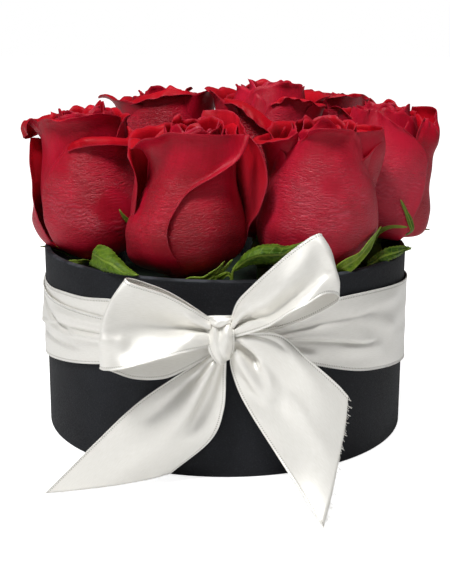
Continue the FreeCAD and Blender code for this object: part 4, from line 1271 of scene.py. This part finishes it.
RIGHT_TAIL_FOLDS = [
    Fold((0.06, 0.52), (0.30, 0.46), -2.2, 0.07, 0.05), Fold((0.04, 0.34), (0.42, 0.26), 1.0, 0.08, 0.08),
    Fold((0.12, 0.68), (0.50, 0.40), 2.0, 0.08, 0.10), Fold((0.14, 0.92), (0.44, 0.80), -1.0, 0.08, 0.08),
    Fold((0.30, 0.12), (0.60, 0.16), -0.6, 0.08, 0.08),
]
# The band's edges and the strip's upper edge, as (angle, height).
BAND_UPPER = [
    (-180, 69), (-120, 69), (-90, 68.5), (-72, 66.5), (-57, 65.6), (-44, 65.6), (-30, 65.5), (-12, 65),
    (0, 66), (10, 68), (20, 72.5), (38, 75.1), (46, 74.8), (58, 73.7), (70, 72.3), (95, 69.8), (180, 69)]
BAND_LOWER = [
    (-180, 29), (-120, 29.5), (-90, 33), (-72, 36.3), (-60, 39), (-50, 41.3), (-38, 44.7), (-22, 50),
    (-8, 55), (0, 56), (8, 55), (20, 50), (27, 47), (33, 44.3), (42, 40.8), (52, 38.3), (74, 33.8),
    (95, 30.5), (180, 29)]
STRIP_UPPER = [
    (-125, 67.5), (-100, 69.5), (-84, 70.2), (-64, 70.3), (-57, 71.1), (-44, 72), (-33, 73.7), (-12, 71)]
STRIP_ENDS = (-124, -13)
STRIP_HIDDEN = 9.0  # how far the strip reaches down behind the band
STRIP_LIFT = 0.45  # distance of the strip from the paper
BAND_LIFT = 1.25  # mean distance of the band from the paper
PAPER_GAP = 0.35  # least distance of either from the paper
BAND_FOLDS = [
    Fold((16, 0.52), (44, 0.60), 2.6, above=0.16, below=0.025),
    Fold((18, 0.68), (40, 0.68), 0.5, above=0.06, below=0.12),
    Fold((36, 0.70), (52, 0.72), 1.3, above=0.07, below=0.12),
    Fold((40, 0.30), (60, 0.50), 0.9),
    Fold((24, 0.36), (46, 0.28), -0.9, above=0.05, below=0.05),
    Fold((30, 0.16), (60, 0.14), 0.7, above=0.08, below=0.08),
    Fold((4, 0.3), (24, 0.25), 2.0, above=0.08, below=0.08),
    Fold((4, 0.75), (24, 0.85), 1.5, above=0.08, below=0.08),
    Fold((-78, 0.12), (-52, 0.46), -1.5, above=0.05, below=0.03),
    Fold((-66, 0.40), (-34, 0.36), -1.3, above=0.04, below=0.05),
    Fold((-80, 0.42), (-30, 0.55), 1.3, above=0.16, below=0.07),
    Fold((-62, 0.14), (-34, 0.16), 0.7, above=0.07, below=0.09),
    Fold((-54, 0.38), (-44, 0.46), 0.5, above=0.03, below=0.03),
    Fold((-74, 0.66), (-50, 0.72), -0.9, above=0.04, below=0.04),
    Fold((-82, 0.55), (-60, 0.34), 0.8, above=0.03, below=0.05),
    Fold((-30, 0.3), (-4, 0.3), 2.0, above=0.1, below=0.1),
    Fold((-30, 0.7), (-4, 0.7), 1.6, above=0.1, below=0.1),
    Fold((110, 0.35), (150, 0.42), 0.35),
    Fold((-150, 0.62), (-118, 0.55), 0.4),
]


def knot_points(rows):
    """A net round the knot, in the frame's own directions."""
    net = np.array(rows, float)
    return KNOT + np.stack([net[..., 0], -net[..., 1], net[..., 2]], axis=-1)


def relief_of(folds, along, share):
    """Height of all the folds together at each place along and across the ribbon."""
    total = np.zeros(np.broadcast(along, share).shape)
    for fold in folds:
        (a0, w0), (a1, w1) = fold.start, fold.end
        t = (along - a0) / (a1 - a0)
        off = share - (w0 + (w1 - w0) * np.clip(t, 0, 1))
        reach = np.where(off < 0, fold.above, fold.below)
        ends = smooth_step((t + 0.25) / 0.4) * smooth_step((1.25 - t) / 0.4)
        total += fold.height * ends * np.exp(-((off / reach) ** 2))
    return total


def ribbon_sheet(grid):
    return Sheet(grid, RIBBON_THICKNESS, side_distance(grid))


CORD_RADIUS = 0.26
STITCH_SWELL = 0.07


def selvedge(path):
    """The woven edge: a fine cord that swells at each stitch."""
    steps = np.linalg.norm(np.diff(path, axis=0), axis=1)
    length = np.concatenate([[0.0], np.cumsum(steps)])
    count = int(length[-1] / SELVEDGE_PITCH * 4) + 2
    path = evenly(path, count)
    along = np.linspace(0, length[-1], count)
    return tube_part(path, CORD_RADIUS + STITCH_SWELL * np.sin(2 * math.pi * along / SELVEDGE_PITCH))


def edged(grid):
    """A ribbon sheet with its woven edges."""
    return [ribbon_sheet(grid), selvedge(grid[:, 0]), selvedge(grid[:, -1])]


def creased(grid, rng, size, folds=(), outwards=1):
    """The grid with its folds, which stand `outwards` from its front, and small soft creases."""
    rows, columns = grid.shape[:2]
    u = np.linspace(0, 1, columns)[None, :]
    v = np.linspace(0, 1, rows)[:, None]
    relief = outwards * relief_of(folds, v, u) + size * waves(rng, 2 * u, 2 * v, 3.0)
    return grid + normals_of(grid) * relief[:, :, None]


def leaned(front):
    """The front of a loop with its upper edge set back and its lower one set forward, so that it faces up."""
    net = np.array(front, float)
    rise = LOOP_LEAN * np.linspace(-1, 1, net.shape[1])[None, :] * np.array(LEAN_SHARES[:len(net)])[:, None]
    net[..., 1] += rise
    net[..., 2] += rise * math.tan(math.radians(CAMERA_PITCH))
    return net


def make_loop(side, front, back, folds, rng):
    """One loop of the bow. Its folds are given along the front, which is the first half of the ribbon."""
    net = smooth_net(knot_points(np.concatenate([leaned(front), back])), *LOOP_STEPS)
    outwards = 1 if side == "right" else -1
    along = [replace(f, start=(f.start[0] / 2, f.start[1]), end=(f.end[0] / 2, f.end[1])) for f in folds]
    grid = creased(net, rng, LOOP_CREASE, along, outwards)
    make_piece(f"satin_loop_{side}", edged(grid), [SATIN], "box", [f"bow_loop_{side}"])


THREAD_RADIUS = 0.09


def frayed_threads(cut, headings, rng, count):
    """Loose threads along a cut edge, from its points and the ribbon's heading at each."""
    threads = []
    for _ in range(count):
        at = rng.integers(0, len(cut))
        start, heading = cut[at], headings[at]
        sway = rng.normal(0, 0.35, 3)
        reach = rng.uniform(0.3, 1.5)
        path = [start - heading * 0.6]
        for share in (0.25, 0.5, 0.75, 1.0):
            path.append(start + reach * share * (heading + sway * share))
        threads.append(tube_part(path, THREAD_RADIUS, count=4))
    return threads


def make_tail(side, rows, folds, rng, loose):
    """One tail, with `loose` threads along its cut end."""
    grid = creased(smooth_net(knot_points(rows), *TAIL_STEPS), rng, TAIL_CREASE, folds, -1)
    headings = grid[-1] - grid[-2]
    headings /= np.linalg.norm(headings, axis=1, keepdims=True)
    parts = edged(grid) + frayed_threads(grid[-1], headings, rng, loose)
    make_piece(f"satin_tail_{side}", parts, [SATIN], "box", [f"bow_tail_{side}"])


def band_grid(angle, share, upper, lower, lift):
    """A strip round the box. `lift` is its distance from the paper at each point."""
    top = np.interp(angle, *upper.T)
    low = np.interp(angle, *lower.T)
    height = top + (low - top) * share
    radius = np.broadcast_to(BOX_RADIUS + np.maximum(lift, PAPER_GAP), height.shape)
    turn = np.radians(angle)
    return np.stack([radius * np.sin(turn), -radius * np.cos(turn), height], axis=-1)


def smoothed(table):
    """A table of (angle, height) made smooth."""
    table = np.array(table, float)
    return filled(table, table[:, 0], 6)


def make_band(rng):
    """The band, whose ends meet under the knot, and the strip of its lower layer that shows above it."""
    upper, lower = smoothed(BAND_UPPER), smoothed(BAND_LOWER)
    angle = (np.linspace(1, 359, 717)[:, None] + 180) % 360 - 180
    share = np.linspace(0, 1, 60)[None, :]
    phase = rng.uniform(0, 2 * math.pi, 6)
    near = np.exp(-((angle / 70.0) ** 2))
    ripple = np.sin(angle * 0.13 + 7 * share + phase[0]) * np.sin(angle * 0.05 + 11 * share + phase[1])
    at_back = 1 - np.exp(-(((180 - np.abs(angle)) / 25) ** 2))
    lift = BAND_LIFT + relief_of(BAND_FOLDS, angle, share) + (0.12 + 0.25 * near) * ripple * at_back
    parts = edged(band_grid(angle, share, upper, lower, lift))
    angle = np.linspace(*STRIP_ENDS, 260)[:, None]
    share = np.linspace(0, 1, 16)[None, :]
    strip = band_grid(angle, share, smoothed(STRIP_UPPER), upper - (0, STRIP_HIDDEN), STRIP_LIFT)
    parts += [ribbon_sheet(strip), selvedge(strip[:, 0])]
    make_piece("satin_band", parts, [SATIN], "box", ["ribbon_band"])


NECK_WIDE, NECK_HIGH = 4.6, 6.0  # half width and half height of the neck behind the knot
NECK_PLEATS = 9


def knot_neck():
    """The gathered ribbon that joins the knot to the band behind it."""
    turn = np.linspace(0, 2 * math.pi, 73)[None, :]
    out = np.linspace(-6.6, 2.0, 14)[:, None]
    pleats = 1 + 0.09 * np.sin(NECK_PLEATS * turn + 0.25 * out)
    right, up = NECK_WIDE * pleats * np.cos(turn), NECK_HIGH * pleats * np.sin(turn)
    grid = knot_points(np.stack([right, np.broadcast_to(out, up.shape), up], axis=-1))
    return Sheet(grid, RIBBON_THICKNESS, np.full(up.shape, RIBBON_WIDTH / 2))


def make_knot(rng):
    """The ribbon end wrapped over the knot, the fold tucked in above it, and the neck behind."""
    wrap = creased(smooth_net(knot_points(KNOT_WRAP), *WRAP_STEPS), rng, KNOT_CREASE)
    tuck = creased(smooth_net(knot_points(KNOT_TUCK), *TUCK_STEPS), rng, KNOT_CREASE)
    parts = [*edged(wrap), *edged(tuck), knot_neck()]
    make_piece("satin_knot", parts, [SATIN], "box", ["bow_knot"])


ribbon_rng = np.random.default_rng(404)
make_loop("left", LEFT_LOOP_FRONT, LEFT_LOOP_BACK, LEFT_LOOP_FOLDS, ribbon_rng)
make_loop("right", RIGHT_LOOP_FRONT, RIGHT_LOOP_BACK, RIGHT_LOOP_FOLDS, ribbon_rng)
make_tail("left", LEFT_TAIL, LEFT_TAIL_FOLDS, ribbon_rng, loose=10)
make_tail("right", RIGHT_TAIL, RIGHT_TAIL_FOLDS, ribbon_rng, loose=80)
make_band(ribbon_rng)
make_knot(ribbon_rng)


# ---------------------------------------------------------------- CAD nodes that stay


def paint(nodes, material):
    """Gives CAD nodes that stay as they are their material."""
    for node in nodes:
        mesh = frame["nodes"][node].data
        mesh.materials.clear()
        mesh.materials.append(material)


paint(["covering_paper", "base_paper"], BLACK_PAPER)
paint(["inner_lining"], LINING_PAPER)
paint(["board_wall", "board_base"], board_material())
paint(["waterproof_liner"], film_material())
paint(["foam_block"], foam_material())
paint([f"{name}_stem" for name in ROSE_NAMES], stem_material())


# ---------------------------------------------------------------- stage

CAMERA_BACK = 509.1  # in front of the box's axis
CAMERA_UP = 185.0
CAMERA_ROLL = 0.17  # degrees
CAMERA_LENS = 67.73
SENSOR = 36.0
FLOOR_HALF = 6.0  # metres
FLOOR_GLOW = 0.8  # near the box; 1 is white
ROOM_LIGHT = 0.10  # of the world's white, for everything but the camera
AIM_HEIGHT = 0.09  # metres


def make_floor():
    """A pale table that stays white to the camera wherever no shadow falls on it."""
    s = Shader("pale_floor")
    tone = s.mix(s.noise(s.place(), 0.01, 2.0), colour(0.90, 0.90, 0.90), colour(0.93, 0.93, 0.93))
    seen = s.node("LightPath", {}).outputs["Is Camera Ray"]
    spot = s.node("TexCoord", {}).outputs["Object"]
    away = s.node("VectorMath", {0: spot}, operation="LENGTH").outputs["Value"]
    glow = s.math("MULTIPLY", seen, s.span(away, 0.4, 1.6, FLOOR_GLOW, 1.0))
    s.surface({"Base Color": tone, "Roughness": 0.7, "Specular IOR Level": 0.2,
               "Emission Color": colour(1, 1, 1), "Emission Strength": glow})
    mesh = bpy.data.meshes.new("floor")
    corners = [(-1, -1), (1, -1), (1, 1), (-1, 1)]
    mesh.from_pydata([(FLOOR_HALF * x, FLOOR_HALF * y, 0) for x, y in corners], [], [(0, 1, 2, 3)])
    mesh.materials.append(s.material)
    floor = bpy.data.objects.new("floor", mesh)
    bpy.context.scene.collection.objects.link(floor)


def make_light(name, place, size, power):
    """A square soft lamp at `place`, in metres, aimed at the flowers. Its power is in watts."""
    lamp = bpy.data.lights.new(name, "AREA")
    lamp.size = size
    lamp.energy = power
    made = bpy.data.objects.new(name, lamp)
    made.location = place
    aim = Vector((0, 0, AIM_HEIGHT)) - Vector(place)
    made.rotation_euler = aim.to_track_quat("-Z", "Y").to_euler()
    bpy.context.scene.collection.objects.link(made)


def make_world():
    """White to the camera and even soft light for the rest."""
    world = bpy.data.worlds.new("studio")
    bpy.context.scene.world = world
    world.use_nodes = True
    tree = world.node_tree
    tree.nodes.clear()
    path = tree.nodes.new("ShaderNodeLightPath")
    shown = tree.nodes.new("ShaderNodeMapRange")
    background = tree.nodes.new("ShaderNodeBackground")
    output = tree.nodes.new("ShaderNodeOutputWorld")
    background.inputs["Color"].default_value = colour(1, 1, 1)
    shown.inputs[3].default_value = ROOM_LIGHT
    shown.inputs[4].default_value = 1.0
    tree.links.new(path.outputs["Is Camera Ray"], shown.inputs[0])
    tree.links.new(shown.outputs[0], background.inputs["Strength"])
    tree.links.new(background.outputs[0], output.inputs[0])


def make_camera():
    lens = bpy.data.cameras.new("camera")
    lens.sensor_width = SENSOR
    lens.lens = CAMERA_LENS
    camera = bpy.data.objects.new("camera", lens)
    camera.location = (0, -CAMERA_BACK * MM, CAMERA_UP * MM)
    camera.rotation_mode = "XYZ"
    camera.rotation_euler = (math.radians(90 - CAMERA_PITCH), 0, 0)
    camera.rotation_euler.rotate_axis("Z", math.radians(CAMERA_ROLL))
    bpy.context.scene.collection.objects.link(camera)
    bpy.context.scene.camera = camera


make_floor()
make_light("key", (-0.34, -0.58, 1.16), 0.30, 14.5)
make_light("front", (-0.10, -1.2, 0.75), 0.4, 0.6)
make_light("top", (0.10, -0.10, 1.2), 0.5, 5)
make_world()
make_camera()
bpy.context.scene.view_settings.view_transform = "Standard"
